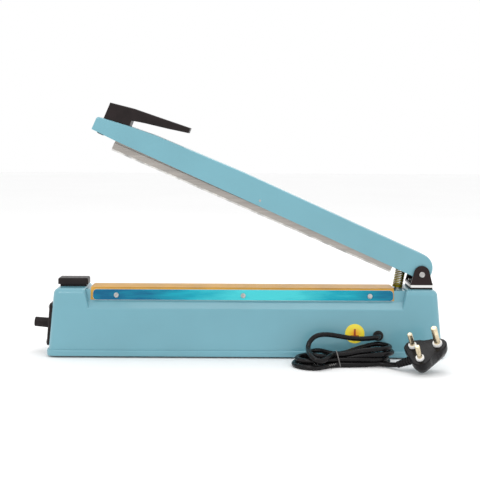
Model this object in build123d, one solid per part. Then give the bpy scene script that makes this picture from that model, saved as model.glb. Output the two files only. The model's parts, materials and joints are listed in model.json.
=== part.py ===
from build123d import *
import os
from math import cos, pi, radians, sin, tan

os.makedirs("parts", exist_ok=True)

# Hand impulse heat sealer. Millimetres, +Z up, +X along the body towards the
# hinge, -Y is the front with the mains cord. The origin is the middle of the
# footprint on the surface it stands on, cord and plug not counted.

# ---- driving dimensions: casing ----
body_length = 535.0
body_width = 85.0
casing_top_z = 92.0
foot_height = 2.6
flange_height = 8.0
flange_lip = 2.5
flange_corner = 12.5
draft = 5.0
casing_soft_r = 3.0
tower_top_r = 8.5              # rounding round the top of the casing's walls
wall = 1.8
tower_length = 57.5            # each end tower, measured at the crease
tower_slope = 6.5              # the tower's inner face leans back by this much up to its top
deck_drop = 2.5                # deck below the tower tops
deck_side_height = 15.0        # up the deck's steep sides
shoulder_fall_height = 9.0     # from the foot of those sides down to the crease
deck_foot_width = 49.0
deck_top_width = 41.0

# ---- driving dimensions: sealing line ----
seal_center = -3.2             # middle of the sealing line from the middle of the body
seal_end_gap = 7.5             # retaining strip to the tower at the crease
cloth_over = 2.2               # the cloth reaches past the strips at each end
cloth_shift = 1.1              # and a little further under the left tower
cloth = 0.25
strip_height = 14.6
strip_thickness = 1.5
film = 0.25
strip_screw_in = 31.5          # end screws from the ends of the strip
bed_in = 0.5                   # bed shorter than the strips at each end
element_in = 6.0               # element shorter than the bed at each end
bed_height = 2.7
element_width = 3.0
element_height = 0.25
underlay_width = 14.0
underlay_height = 0.3

# ---- driving dimensions: hinge and arm ----
pivot_in = 30.0                # hinge pin from the right end of the flange
pivot_height = 20.0            # hinge pin above the tower
open_angle = 24.2
pin_r = 2.5
running = 0.05                 # radial clearance of a turning pin
arm_width = 38.0
arm_sheet = 1.6
arm_top = 25.4                 # above the pin line
arm_bottom = -7.2
arm_heel = 12.5                # behind the pin
arm_past_cap = 11.8            # free end past the middle of the switch cap
arm_slopes = [(-209.0, 0.0), (-80.0, -3.8), (-44.0, -7.2), (0.0, -13.2)]  # from the free end, and down
ear_gap = 0.4
ear_thickness = 3.0
ear_base = 29.6
ear_arch_r = 10.5
pad_height = 2.6
hinge_plate_height = 3.2
web_height = 2.2
spring_foot_in = 29.5          # arm spring's foot from the pin
close_gap = 0.3                # left between the closed arm and what it closes on

# ---- driving dimensions: press bar ----
bar_start = 38.0               # from the pin, along the arm
bar_cap_gap = 1.5              # from the closed bar's free end to the switch cap
bar_pin_shift = 4.1            # the bar's pin from its middle, towards the hinge
bar_foot_width = 14.0
bar_foot_height = 8.2
bar_web_width = 8.0
bar_web_height = 12.0
bar_pin_r = 1.5
bar_droop = 0.76               # degrees that the free end of the bar hangs down
silicone_width = 11.0
silicone_proud = 2.5
silicone_groove = 0.8

# ---- driving dimensions: switch, dial, cord ----
cap_in = 32.8                  # middle of the switch cap from the left end of the flange
cap_length = 41.0
cap_width = 24.0
cap_gap = 3.0                  # cap above the tower
cap_height = 8.5
cap_wall = 2.2
stem_r = 3.0
dial_z = 39.0
dial_panel_height = 58.0
dial_panel_width = 52.0
dial_panel_thickness = 4.5
knob_r = 6.5
knob_reach = 27.0
knob_gap = 0.5
shaft_r = 3.0
bush_wall = 0.5
cord_r = 3.2
gland_in = 89.7                # cord outlet from the right end of the flange
gland_z = 31.5
label_from_gland = 31.3
label_z = 34.0
label_r = 13.0

# ---- values worked out from the driving dimensions ----
deck_top_z = casing_top_z - deck_drop
deck_foot_z = deck_top_z - deck_side_height
crease_z = deck_foot_z - shoulder_fall_height
tower_slot_bottom = body_length - 2 * tower_length
tower_slot_top = tower_slot_bottom + 2 * tower_slope
strip_length = tower_slot_bottom - 2 * seal_end_gap
strip_screw_pitch = strip_length / 2 - strip_screw_in
cloth_length = strip_length + 2 * cloth_over
bed_length = strip_length - 2 * bed_in
element_length = bed_length - 2 * element_in
flange_top_z = foot_height + flange_height
wall_length = body_length - 2 * flange_lip
wall_width = body_width - 2 * flange_lip
lean = tan(radians(draft))
bush_r = shaft_r + bush_wall
end_wall_in = flange_lip + (dial_z - flange_top_z) * lean
knob_tip_out = (knob_reach * cos(radians(draft)) + knob_r * sin(radians(draft))) - end_wall_in
body_x = knob_tip_out / 2      # middle of the casing, so that the whole box is centred on x = 0
left_x = body_x - body_length / 2
right_x = body_x + body_length / 2
pivot_x = right_x - pivot_in
pivot_z = casing_top_z + pivot_height
seal_x = body_x + seal_center
cap_x = left_x + cap_in
cap_bottom_z = casing_top_z + cap_gap
cap_top_z = cap_bottom_z + cap_height
gland_x = right_x - gland_in
bed_top_z = deck_top_z + bed_height
cloth_top_z = bed_top_z + underlay_height + element_height + cloth
hinge_plate_z = casing_top_z + pad_height
web_z = hinge_plate_z + hinge_plate_height
web_top_z = web_z + web_height
ear_y = arm_width / 2 + ear_gap
arm_length = pivot_x - cap_x + arm_past_cap
bar_length = pivot_x - cap_x - cap_length / 2 - bar_cap_gap - bar_start
bar_pin_at = bar_start + bar_length / 2 - bar_pin_shift
silicone_bottom = cloth_top_z + close_gap - pivot_z
bar_foot_bottom = silicone_bottom + silicone_proud
bar_foot_top = bar_foot_bottom + bar_foot_height
bar_web_top = bar_foot_top + bar_web_height
striker_bottom = cap_top_z + close_gap - pivot_z
deck_foot_y = deck_foot_width / 2
deck_top_y = deck_top_width / 2


def save(name, *parts):
    solids = [solid for part in parts for solid in part.solids()]
    shape = solids[0] if len(solids) == 1 else Compound(children=solids)
    export_step(shape, f"parts/{name}.step")


def outline(points):
    return make_face(Polyline(*points, close=True))


def prism_x(points, start, end):
    """A section drawn in Y and Z, drawn out along X."""
    return extrude(Plane.YZ.offset(start) * outline(points), end - start)


def prism_y(points, half_width):
    """A side view drawn in X and Z, drawn out evenly to both sides."""
    return extrude(Plane.XZ * outline(points), half_width, both=True)


def block(x0, x1, y0, y1, z0, z1):
    return Pos((x0 + x1) / 2, (y0 + y1) / 2, (z0 + z1) / 2) * Box(x1 - x0, y1 - y0, z1 - z0)


def at(plane, u, v, out=0.0, turn=0.0):
    """The same plane moved along its own axes and turned about its normal."""
    return Plane(plane.location * Pos(u, v, out) * Rot(0, 0, turn))


def rod(radius, height, plane):
    """A cylinder that starts on the plane and runs along its normal."""
    return extrude(plane * Circle(radius), height)


def ring(outer, inner, height, plane):
    return rod(outer, height, plane) - rod(inner, height, plane)


def pan_head(head_r, head_h, shank_r, shank_l, plane):
    """A pan head screw: the plane lies under the head and points out of it."""
    head = extrude(plane * Circle(head_r), head_h)
    rim = head.edges().filter_by(GeomType.CIRCLE).sort_by_distance(plane.origin)[-1]
    head = fillet(rim, 0.45 * head_h)
    slot = plane.offset(0.62 * head_h)
    for turn in (0, 90):
        head -= extrude(at(slot, 0, 0, 0, turn) * Rectangle(1.1 * head_r, 0.22 * head_r), head_h)
    return head + extrude(plane * Circle(shank_r), -shank_l)


# ---- casing ----
def wall_y(z):
    """Half the casing's width across its drafted front and rear walls."""
    return wall_width / 2 - (z - flange_top_z) * lean


def end_x(z):
    """Where the drafted left end wall stands."""
    return left_x + flange_lip + (z - flange_top_z) * lean


slot_lean = (tower_slot_top - tower_slot_bottom) / 2 / (casing_top_z - crease_z)
shoulder_fall = (deck_foot_z - crease_z) / (wall_y(crease_z) - deck_foot_y)
far_y = body_width


def casing_form(inset):
    """The drafted casing with its two end towers, all faces moved in by inset."""
    height = casing_top_z - flange_top_z - inset
    corner = flange_corner - flange_lip - inset
    inward = inset + height * lean
    foot = RectangleRounded(wall_length - 2 * inset, wall_width - 2 * inset, corner)
    top = RectangleRounded(wall_length - 2 * inward, wall_width - 2 * inward, corner)
    low_face = Pos(body_x, 0, flange_top_z) * foot
    form = loft([low_face, Pos(body_x, 0, flange_top_z + height) * top], ruled=True)
    form = fillet(form.edges().group_by(Axis.Z)[-1], tower_top_r - inset)
    shoulder_z = deck_foot_z - shoulder_fall * (far_y - deck_foot_y)
    low = shoulder_z - wall
    deck = [(far_y, low), (far_y, shoulder_z), (deck_foot_y, deck_foot_z), (deck_top_y, deck_top_z)]
    deck = deck + [(-y, z) for y, z in reversed(deck)]
    over = casing_top_z + 20
    slot_b = tower_slot_bottom / 2
    slot_t = slot_b + slot_lean * (over - crease_z)
    slot = [(body_x - slot_b, crease_z), (body_x + slot_b, crease_z),
            (body_x + slot_t, over), (body_x - slot_t, over)]
    deck_face = Plane.YZ.offset(-body_length) * outline(deck)
    slot_face = Plane.XZ * outline(slot)
    if inset > 0:
        deck_face = offset(deck_face, -inset, kind=Kind.INTERSECTION)
        slot_face = offset(slot_face, inset, kind=Kind.INTERSECTION)
    return form - (extrude(slot_face, far_y, both=True) - extrude(deck_face, 2 * body_length))


def on_soft_edge(edge):
    """The inner edges of the tower tops, the towers' corners above the crease, and the crease itself."""
    box = edge.bounding_box()
    mid = edge.center()
    tower_top = box.min.Z > casing_top_z - 0.01 and box.size.X < 0.01
    crease = box.size.X > tower_slot_bottom - 2 and abs(mid.Z - crease_z) < 0.3
    outside = abs(mid.Y) > deck_foot_y + 1
    by_slot = abs(abs(mid.X - body_x) - tower_slot_top / 2) < tower_slot_top - tower_slot_bottom
    slot_corner = outside and by_slot and box.size.Z > (casing_top_z - crease_z) / 2 and mid.Z > deck_foot_z
    return tower_top or crease or slot_corner


outer = casing_form(0)
outer = fillet([edge for edge in outer.edges() if on_soft_edge(edge)], casing_soft_r)

flange_form = RectangleRounded(body_length, body_width, flange_corner)
flange = extrude(Pos(body_x, 0, foot_height) * flange_form, flange_height)
flange = fillet(flange.edges().group_by(Axis.Z)[-1], 1.8)
hollow = casing_form(wall)
rim_corner = flange_corner - flange_lip - wall
rim_room = RectangleRounded(wall_length - 2 * wall, wall_width - 2 * wall, rim_corner)
hollow += extrude(Pos(body_x, 0, 0) * rim_room, flange_top_z)
casing = outer + flange - hollow

# screw posts that the bottom plate fastens to
plate_thickness = 1.5
plate_z = foot_height + 0.2
plate_length = wall_length - 2 * wall - 1.0
plate_width = wall_width - 2 * wall - 1.0
post_r = 4.5
post_x = [body_x + k * (plate_length / 2 - 9) for k in (-1, 0, 1)]
post_y = plate_width / 2 - 5
post_low = plate_z + plate_thickness
posts = [(x, side * post_y) for x in post_x for side in (-1, 1)]
post_height = 22.0
for x, y in posts:
    post = rod(post_r, post_height, Plane((x, y, post_low)))
    rib_y = sorted((y, y * 1.08))
    casing += post + block(x - 3, x + 3, *rib_y, post_low, post_low + post_height)
for x, y in posts:
    casing -= rod(1.6, 14, Plane((x, y, post_low)))
casing = casing & (outer + flange)

# frames on the drafted walls: their normals point out of the casing
front_normal = Vector(0, -cos(radians(draft)), sin(radians(draft)))


def front_plane(x, z):
    return Plane(origin=(x, -wall_y(z), z), x_dir=(1, 0, 0), z_dir=front_normal)


end_plane = Plane(origin=(end_x(dial_z), 0, dial_z), x_dir=(0, -1, 0),
                  z_dir=(-cos(radians(draft)), 0, sin(radians(draft))))

# frames on the deck's two steep sides, which carry the retaining strips
deck_slope = Vector(0, deck_foot_y - deck_top_y, deck_top_z - deck_foot_z).normalized()


def deck_plane(x, side, out=0.0):
    """side is -1 in front and 1 behind; x_dir runs along the deck, y_dir up its side."""
    up = Vector(0, -side * deck_slope.Y, deck_slope.Z)
    normal = Vector(0, side * deck_slope.Z, deck_slope.Y)
    x_dir = up.cross(normal)
    middle = Vector(x, side * (deck_foot_y + deck_top_y) / 2, (deck_foot_z + deck_top_z) / 2)
    return Plane(origin=middle + normal * out, x_dir=x_dir, z_dir=normal)


strip_up = 0.75                # the strip stands this much above the middle of the deck side
strip_screw_x = [seal_x + k * strip_screw_pitch for k in (-1, 0, 1)]
strip_screw_r = 1.45
strip_out = cloth + strip_thickness

gland_r = 6.9
gland_body_r = 5.2
gland_lip = 3.0
pot_r = 8.5
pot_depth = 9.0
bush_hole_r = bush_r + 0.15
panel_screw_r = 1.2
panel_screws = [(u * (dial_panel_width / 2 - 5), v * (dial_panel_height / 2 - 5))
                for u in (-1, 1) for v in (-1, 1)]
panel_shift = 2.5              # the panel reaches a little higher above the dial than below it
lens_at = (0.0, 21.0)
lens_r = 2.4

casing -= rod(gland_body_r, -8 * wall, front_plane(gland_x, gland_z))
casing -= rod(bush_hole_r, -4 * wall, end_plane)
casing -= rod(lens_r + 0.1, -4 * wall, at(end_plane, *lens_at))
for u, v in panel_screws:
    casing -= rod(panel_screw_r, -4 * wall, at(end_plane, u, v + panel_shift))
for side in (-1, 1):
    for x in strip_screw_x:
        casing -= rod(strip_screw_r, -4 * wall, deck_plane(x, side))

# slots for the element blocks, the switch guide and the screws of the hinge
block_length = 7.0
block_width = 12.0
block_x = [seal_x + side * (element_length / 2 - block_length / 2) for side in (-1, 1)]
block_low = deck_top_z - 7.5
guide_length = cap_length - 2 * cap_wall - 0.8
guide_width = cap_width - 2 * cap_wall - 0.8
guide_hole_l = 16.0
guide_hole_w = 10.0
for x in block_x:
    casing -= block(x - block_length / 2 - 0.3, x + block_length / 2 + 0.3, -block_width / 2 - 0.3,
                    block_width / 2 + 0.3, block_low - 4, bed_top_z)
casing -= block(cap_x - guide_hole_l / 2, cap_x + guide_hole_l / 2, -guide_hole_w / 2, guide_hole_w / 2,
                casing_top_z - 4 * wall, casing_top_z + 5)
hinge_screw_rows = (-9.0, 2.0)  # both rows stay in front of the arm's heel
hinge_screw_y = 11.0
hinge_screws = [(pivot_x + row, j * hinge_screw_y) for row in hinge_screw_rows for j in (-1, 1)]
hinge_screw_r = 2.0
for x, y in hinge_screws:
    casing -= rod(hinge_screw_r, -6 * wall, Plane((x, y, casing_top_z + 1)))
spring_foot_x = pivot_x - spring_foot_in
spring_screw_r = 1.5
casing -= rod(spring_screw_r, -4 * wall, Plane((spring_foot_x, 0, deck_top_z + 0.5)))
save("base_shell", casing)

# ---- bottom plate, feet and their screws ----
foot_r = 8.0
foot_in = 26.0
feet_at = [(body_x + i * (plate_length / 2 - foot_in), j * (plate_width / 2 - 14))
           for i in (-1, 1) for j in (-1, 1)]
plate_form = RectangleRounded(plate_length, plate_width, rim_corner)
plate = extrude(Pos(body_x, 0, plate_z) * plate_form, plate_thickness)
for x, y in posts:
    plate -= rod(1.8, 3 * plate_thickness, Plane((x, y, plate_z - plate_thickness)))
for x, y in feet_at:
    plate -= rod(2.0, 3 * plate_thickness, Plane((x, y, plate_z - plate_thickness)))
vent_pitch = 9.0
for k in range(-5, 6):
    vent = Pos(body_x - 60 + k * vent_pitch, 0, plate_z) * SlotOverall(26, 3, rotation=90)
    plate -= extrude(vent, 2 * plate_thickness, both=True)

feet = []
for x, y in feet_at:
    base = Plane((x, y, 0))
    foot = rod(foot_r, plate_z, base)
    foot = chamfer(foot.edges().group_by(Axis.Z)[0], 0.6)
    foot += rod(2.0, plate_thickness, Plane((x, y, plate_z)))
    feet.append(foot + rod(3.2, 1.2, Plane((x, y, post_low))))
save("rubber_feet", *feet)

case_screw = (3.2, 2.0, 1.6)    # head radius, head height, shank radius
case_screws = [pan_head(*case_screw, 11.0, Plane((x, y, plate_z), z_dir=(0, 0, -1))) for x, y in posts]

# ---- dial panel on the left end ----
panel_plane = at(end_plane, 0, panel_shift)
panel_form = RectangleRounded(dial_panel_width, dial_panel_height, 4)
panel = extrude(panel_plane * panel_form, dial_panel_thickness)
panel = fillet(panel.faces().sort_by_distance(panel_plane.offset(50).origin)[0].edges(), 1.2)
panel -= rod(bush_hole_r, dial_panel_thickness, end_plane)
nut_r = bush_r + 1.5
nut_room_r = nut_r + 1.0
nut_height = 2.2
nut_floor = dial_panel_thickness - nut_height - 0.3
panel -= rod(nut_room_r, dial_panel_thickness, end_plane.offset(nut_floor))
panel -= rod(lens_r + 0.1, dial_panel_thickness, at(end_plane, *lens_at))
for u, v in panel_screws:
    panel -= rod(panel_screw_r, dial_panel_thickness, at(panel_plane, u, v))
save("dial_panel", panel)

panel_face = panel_plane.offset(dial_panel_thickness)
save("dial_panel_screws", *[pan_head(2.4, 1.5, panel_screw_r, 8.0, at(panel_face, u, v))
                            for u, v in panel_screws])

lens_plane = at(end_plane, *lens_at, -3.0)
lens = rod(lens_r, dial_panel_thickness + 3.0, lens_plane)
dome_plane = lens_plane.offset(dial_panel_thickness + 3.0)
lens += (dome_plane.location * Pos(0, 0, -0.6) * Sphere(lens_r)) & rod(lens_r, lens_r, dome_plane)
save("indicator_lamp", lens)

pot_face = -wall
potentiometer = rod(pot_r, -pot_depth, end_plane.offset(pot_face))
potentiometer = fillet(potentiometer.edges().filter_by(GeomType.CIRCLE), 0.8)
potentiometer += rod(bush_r, nut_floor + nut_height + wall, end_plane.offset(pot_face))
shaft_start = pot_face - 5.0
potentiometer -= rod(shaft_r + running, 40, end_plane.offset(shaft_start))
for u in (-5, 0, 5):
    potentiometer += end_plane.location * Pos(u, -pot_r, pot_face - 4.5) * Box(2, 7, 0.8)
nut = extrude(end_plane.offset(nut_floor) * RegularPolygon(nut_r, 6), nut_height)
nut -= rod(bush_r, nut_height, end_plane.offset(nut_floor))
save("potentiometer", potentiometer, nut)

shaft_top = knob_reach - 4.0
save("dial_shaft", rod(shaft_r, shaft_top - shaft_start - 0.3, end_plane.offset(shaft_start + 0.3)))

knob_start = dial_panel_thickness + knob_gap
skirt_r = 8.2
skirt_height = 3.0
knob_foot = end_plane.offset(knob_start)
knob_body = extrude(knob_foot * Circle(knob_r + 0.4), knob_reach - knob_start, taper=1.0)
knob_tip = knob_body.faces().sort_by_distance(end_plane.offset(knob_reach + 20).origin)[0]
knob_body = fillet(knob_tip.edges(), 1.0)
skirt = extrude(knob_foot * Circle(skirt_r), skirt_height, taper=18)
knob = knob_body + skirt
flute_count = 18
for k in range(flute_count):
    flute = at(end_plane, 0, 0, knob_start + skirt_height + 1.5, 360 * k / flute_count)
    knob -= rod(0.75, knob_reach, at(flute, knob_r + 0.55, 0))
knob -= rod(shaft_r, shaft_top - knob_start, knob_foot)
knob -= rod(nut_room_r - 0.4, 1.6, knob_foot)
pointer_place = at(end_plane, 0, skirt_r - 2.0, knob_start + skirt_height - 0.4)
pointer = extrude(pointer_place * Rectangle(1.0, 2.4), 0.8)
save("timer_knob", knob + pointer)

# ---- sealing line on the deck ----
bed_shape = [(-deck_top_y + 0.2, deck_top_z), (deck_top_y - 0.2, deck_top_z),
             (deck_top_y - 1.0, bed_top_z), (-deck_top_y + 1.0, bed_top_z)]
bed = prism_x(bed_shape, seal_x - bed_length / 2, seal_x + bed_length / 2)
for x in block_x:
    bed -= block(x - block_length / 2 - 0.3, x + block_length / 2 + 0.3, -block_width / 2 - 0.3,
                 block_width / 2 + 0.3, deck_top_z - 1, bed_top_z + 1)
save("sealing_bed", bed)

underlay_end = element_length / 2 - block_length - 0.5
underlay_z = bed_top_z + underlay_height
save("underlay_tape", block(seal_x - underlay_end, seal_x + underlay_end,
                            -underlay_width / 2, underlay_width / 2, bed_top_z, underlay_z))
element_z = underlay_z + element_height
save("heating_element", block(seal_x - element_length / 2 + 1, seal_x + element_length / 2 - 1,
                              -element_width / 2, element_width / 2, underlay_z, element_z))
element_blocks = []
for x in block_x:
    clamp = block(x - block_length / 2, x + block_length / 2, -block_width / 2, block_width / 2,
                  block_low, bed_top_z)
    foot = block(x - 1.5, x + 1.5, -element_width / 2, element_width / 2, bed_top_z, underlay_z)
    element_blocks.append(clamp + foot - rod(1.2, 8, Plane((x, -4, block_low), z_dir=(0, 0, 1))))
save("element_blocks", *element_blocks)


def side_y(z, out=0.0):
    """Distance from the middle of the deck's steep side at height z, moved out by out."""
    return deck_top_y + (deck_top_z - z) * deck_slope.Y / deck_slope.Z + out / deck_slope.Z


cloth_low = deck_foot_z + 1.4


def cloth_profile(out):
    half = [(side_y(cloth_low, out), cloth_low), (side_y(deck_top_z, out), deck_top_z),
            (deck_top_y - 1.0 + out, bed_top_z + out), (underlay_width / 2, element_z + out)]
    return half + [(-y, z) for y, z in reversed(half)]


cloth_x = seal_x - cloth_shift
cover = prism_x(cloth_profile(cloth), cloth_x - cloth_length / 2, cloth_x + cloth_length / 2)
cover -= prism_x(cloth_profile(0), cloth_x - cloth_length, cloth_x + cloth_length)

strip_films = []
strip_screws = []
for side, name in ((-1, "front"), (1, "rear")):
    plane = at(deck_plane(seal_x, side, cloth), 0, strip_up)
    shape = RectangleRounded(strip_length, strip_height, 5)
    strip = extrude(plane * shape, strip_thickness)
    film_shape = RectangleRounded(strip_length - 0.6, strip_height - 0.6, 4.8)
    skin = extrude(plane.offset(strip_thickness) * film_shape, film)
    for x in strip_screw_x:
        strip -= rod(strip_screw_r + 0.15, 4 * strip_thickness, deck_plane(x, side, -strip_thickness))
        skin -= rod(3.4, 4 * strip_thickness, deck_plane(x, side, 0))
        cover -= rod(strip_screw_r + 0.15, 2, deck_plane(x, side, -1))
        strip_screws.append(pan_head(3.3, 1.6, strip_screw_r, 5.0, deck_plane(x, side, strip_out)))
    save(f"retaining_strip_{name}", strip)
    strip_films.append(skin)
save("strip_films", *strip_films)
save("strip_screws", *strip_screws)
save("ptfe_cover", cover)

# ---- hinge ----
pad_length = ear_base + 1.0
pad_half = ear_y + ear_thickness + 1.5
pad_in = 0.8
pad = block(pivot_x - pad_length / 2 + pad_in, pivot_x + pad_length / 2 - pad_in,
            -pad_half + pad_in, pad_half - pad_in, casing_top_z, hinge_plate_z)
hinge_plate = block(pivot_x - pad_length / 2, pivot_x + pad_length / 2, -pad_half, pad_half,
                    hinge_plate_z, web_z)
hinge_plate = fillet(hinge_plate.edges().filter_by(Axis.Z), 2)
ear_half = ear_base / 2
ear_low = [(pivot_x - ear_half, web_z), (pivot_x + ear_half, web_z)]
ear_top = (pivot_x, pivot_z + 1.2)
arch = Pos(ear_top[0], ear_top[1]) * Circle(ear_arch_r)
ear_face = make_hull(arch.edges() + [Edge.make_line(*ear_low)])
ears = []
for side in (-1, 1):
    inner = Plane.XZ.offset(-side * ear_y)
    ears.append(extrude(inner * ear_face, -side * ear_thickness))
bracket = ears[0] + ears[1] + block(pivot_x - ear_half, pivot_x + ear_half, -ear_y - ear_thickness,
                                    ear_y + ear_thickness, web_z, web_top_z)
pin_axis = Plane(origin=(pivot_x, 0, pivot_z), x_dir=(1, 0, 0), z_dir=(0, 1, 0))
bracket -= extrude(pin_axis * Circle(pin_r), 2 * pad_half, both=True)
for x, y in hinge_screws:
    hole = rod(hinge_screw_r + 0.2, 20, Plane((x, y, casing_top_z - 0.1)))
    pad -= hole
    hinge_plate -= hole
    bracket -= hole
save("hinge_pad", pad)
save("hinge_plate", hinge_plate)
save("hinge_bracket", bracket)
save("hinge_screws", *[pan_head(3.6, 2.2, hinge_screw_r, web_top_z - casing_top_z + wall + 2,
                                Plane((x, y, web_top_z))) for x, y in hinge_screws])

pin_front = ear_y + ear_thickness
groove_r = pin_r - 0.6
clip_thickness = 0.8
pin = extrude(pin_axis.offset(-pin_front) * Circle(pin_r), 2 * pin_front + 3)
head = extrude(pin_axis.offset(-pin_front) * Circle(4.0), -2.2)
head = fillet(head.faces().sort_by(Axis.Y)[0].edges(), 0.9)
pin += head
clip_plane = pin_axis.offset(pin_front + 0.2)
pin -= ring(pin_r + 1, groove_r, clip_thickness, clip_plane)
save("hinge_pin", pin)
clip = ring(4.6, groove_r, clip_thickness, clip_plane)
clip -= extrude(at(clip_plane, 0, 4) * Rectangle(2 * groove_r - 0.6, 8), clip_thickness)
save("hinge_clip", clip)


# ---- arm, drawn closed and level with its pin at the pivot, then swung open ----
def swing(shape, droop=0.0):
    """Open the arm; droop also turns a piece about the press bar's pin."""
    if droop:
        shape = Pos(-bar_pin_at, 0, 0) * Rot(0, -droop, 0) * Pos(bar_pin_at, 0, 0) * shape
    return Pos(pivot_x, 0, pivot_z) * Rot(0, open_angle, 0) * shape


heel_r = 20.0
slope_r = 90.0
tip_r = 4.0
tip_lift = 1.2                 # the lower edge rises this much over the last tip_cut of the arm
tip_cut = 32.0


def arm_side(inset, drop):
    """Side view of the arm; u runs from the pin to the free end, drawn towards -X."""
    tip = arm_length - inset
    slopes = [(min(arm_length + back, tip), arm_top - inset + down) for back, down in arm_slopes]
    low_tip = [(tip, arm_bottom + tip_lift - drop), (tip - tip_cut, arm_bottom - drop)]
    heel = [(-arm_heel + inset, arm_bottom - drop), (-arm_heel + inset, arm_top - inset)]
    points = [*heel, *slopes, *low_tip]
    return Plane.XZ * outline([(-u, v) for u, v in points])


def vertex_near(shape, u, v):
    return sorted(shape.vertices(), key=lambda p: (p.X + u) ** 2 + (p.Z - v) ** 2)[0]


def arm_solid(inset, drop, half_width):
    face = arm_side(inset, drop)
    face = fillet(vertex_near(face, -arm_heel, arm_top), heel_r - inset)
    for back, down in arm_slopes[:-1]:
        face = fillet(vertex_near(face, arm_length + back, arm_top + down), slope_r)
    face = fillet(vertex_near(face, arm_length, arm_top + arm_slopes[-1][1]), tip_r - inset)
    return extrude(face, half_width, both=True)


arm_outer = arm_solid(0, 0, arm_width / 2)
on_top = [edge for edge in arm_outer.edges()
          if abs(abs(edge.center().Y) - arm_width / 2) < 0.01 and edge.center().Z > arm_bottom + 3]
arm_outer = fillet(on_top, 2.6)
arm_room = arm_solid(arm_sheet, 10, arm_width / 2 - arm_sheet)
arm = arm_outer - arm_room
side_axis = Plane(origin=(0, 0, 0), x_dir=(1, 0, 0), z_dir=(0, 1, 0))
arm -= extrude(side_axis * Circle(pin_r + running), arm_width, both=True)
arm -= extrude(Pos(-bar_pin_at, 0, 0) * side_axis * Circle(bar_pin_r), arm_width, both=True)
grip_screw_u = (arm_length - 38.0, arm_length - 23.0)
grip_screw_hole = 1.7


def arm_top_at(u):
    """Height of the last slope of the arm's top, above the pin line."""
    (near, near_v), (far, far_v) = arm_slopes[-2:]
    return arm_top + near_v + (u - arm_length - near) * (far_v - near_v) / (far - near)


for u in grip_screw_u:
    arm -= rod(grip_screw_hole, 12, Plane((-u, 0, arm_top_at(u) - 6)))
save("arm_shell", swing(arm))

# the grip's side view, from the arm's free end
grip_points = [(-44.5, 12), (-44, 26), (-62, 30.2), (-93, 36.3), (-120, 42.3), (-119.7, 49.6), (-72, 44.9),
               (-40, 41.9), (-8.4, 36.2), (-8.6, 8)]
grip_half = arm_width / 2 - 3.2
grip = prism_y([(-arm_length - back, v) for back, v in grip_points], grip_half)
crown = [edge for edge in grip.edges()
         if abs(abs(edge.center().Y) - grip_half) < 0.01 and edge.center().Z > 20]
grip = fillet(crown, 2.0)
grip -= arm_outer
grip_screw_r = 1.3
for u in grip_screw_u:
    grip -= rod(grip_screw_r, 14, Plane((-u, 0, arm_top_at(u) - 6)))
save("handle", swing(grip))
grip_screws = []
for u in grip_screw_u:
    under = Plane((-u, 0, arm_top_at(u) - arm_sheet - 0.9), z_dir=(0, 0, -1))
    sheet = arm - rod(grip_screw_hole, 40, Plane((-u, 0, -10)))
    grip_screws.append(pan_head(3.0, 1.8, grip_screw_r, 9.0, under) - sheet)
save("handle_screws", *[swing(screw) for screw in grip_screws])

striker_u = pivot_x - cap_x - 0.3
striker = block(-striker_u - 5, -striker_u + 5, -9, 9, striker_bottom, arm_top)
striker = chamfer(striker.edges().group_by(Axis.Z)[0], 1.2)
save("switch_striker", swing(striker & arm_solid(arm_sheet, 30, arm_width / 2 - arm_sheet)))

# ---- press bar ----
bar_end = bar_start + bar_length
bar_half = bar_foot_width / 2
web_half = bar_web_width / 2
groove_half = silicone_width / 2
groove_top = bar_foot_bottom + silicone_groove
bar_shape = [(-bar_half, bar_foot_bottom), (-groove_half, bar_foot_bottom), (-groove_half, groove_top),
             (groove_half, groove_top), (groove_half, bar_foot_bottom), (bar_half, bar_foot_bottom),
             (bar_half, bar_foot_top), (web_half, bar_foot_top), (web_half, bar_web_top),
             (-web_half, bar_web_top), (-web_half, bar_foot_top), (-bar_half, bar_foot_top)]
bar = prism_x(bar_shape, -bar_end, -bar_start)
bar -= extrude(Pos(-bar_pin_at, 0, 0) * side_axis * Circle(bar_pin_r + running), arm_width, both=True)
save("press_bar", swing(bar, bar_droop))
silicone = block(-bar_end, -bar_start, -groove_half, groove_half, silicone_bottom, groove_top)
save("silicone_strip", swing(silicone, bar_droop))
bar_pin = extrude(Pos(-bar_pin_at, 0, 0) * side_axis * Circle(bar_pin_r), arm_width / 2 + 0.2, both=True)
save("press_bar_pin", swing(bar_pin))

# ---- arm spring and its two seats ----
spring_r = 7.0
spring_wire = 1.8
spring_u = 28.0
seat_v = 6.0
post_guide_r = spring_r - spring_wire - 1.4
washer = 1.2
guide = rod(spring_r + 0.4, washer, Plane((spring_foot_x, 0, deck_top_z)))
guide += rod(post_guide_r, 6.0, Plane((spring_foot_x, 0, deck_top_z)))
guide += rod(spring_screw_r, -3 * wall, Plane((spring_foot_x, 0, deck_top_z)))
save("spring_post", guide)
room_top = arm_top - arm_sheet
seat = extrude(Pos(-spring_u, 0, seat_v) * Circle(spring_r + 0.4), 2.0)
seat += extrude(Pos(-spring_u, 0, seat_v) * Circle(4.5), room_top - seat_v)
seat += extrude(Pos(-spring_u, 0, seat_v) * Circle(post_guide_r), -5.0, taper=12)
save("spring_seat", swing(seat))
spring_low = Plane((spring_foot_x, 0, deck_top_z + washer))
seat_point = swing(Pos(-spring_u, 0, seat_v - 0.2) * Sphere(0.1)).center()
spring_high = Plane(origin=(seat_point.X, 0, seat_point.Z),
                    z_dir=(sin(radians(open_angle)), 0, cos(radians(open_angle))))


def skew_rod(radius):
    return loft([spring_low * Circle(radius), spring_high * Circle(radius)])


save("arm_spring", skew_rod(spring_r) - skew_rod(spring_r - spring_wire))

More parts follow.
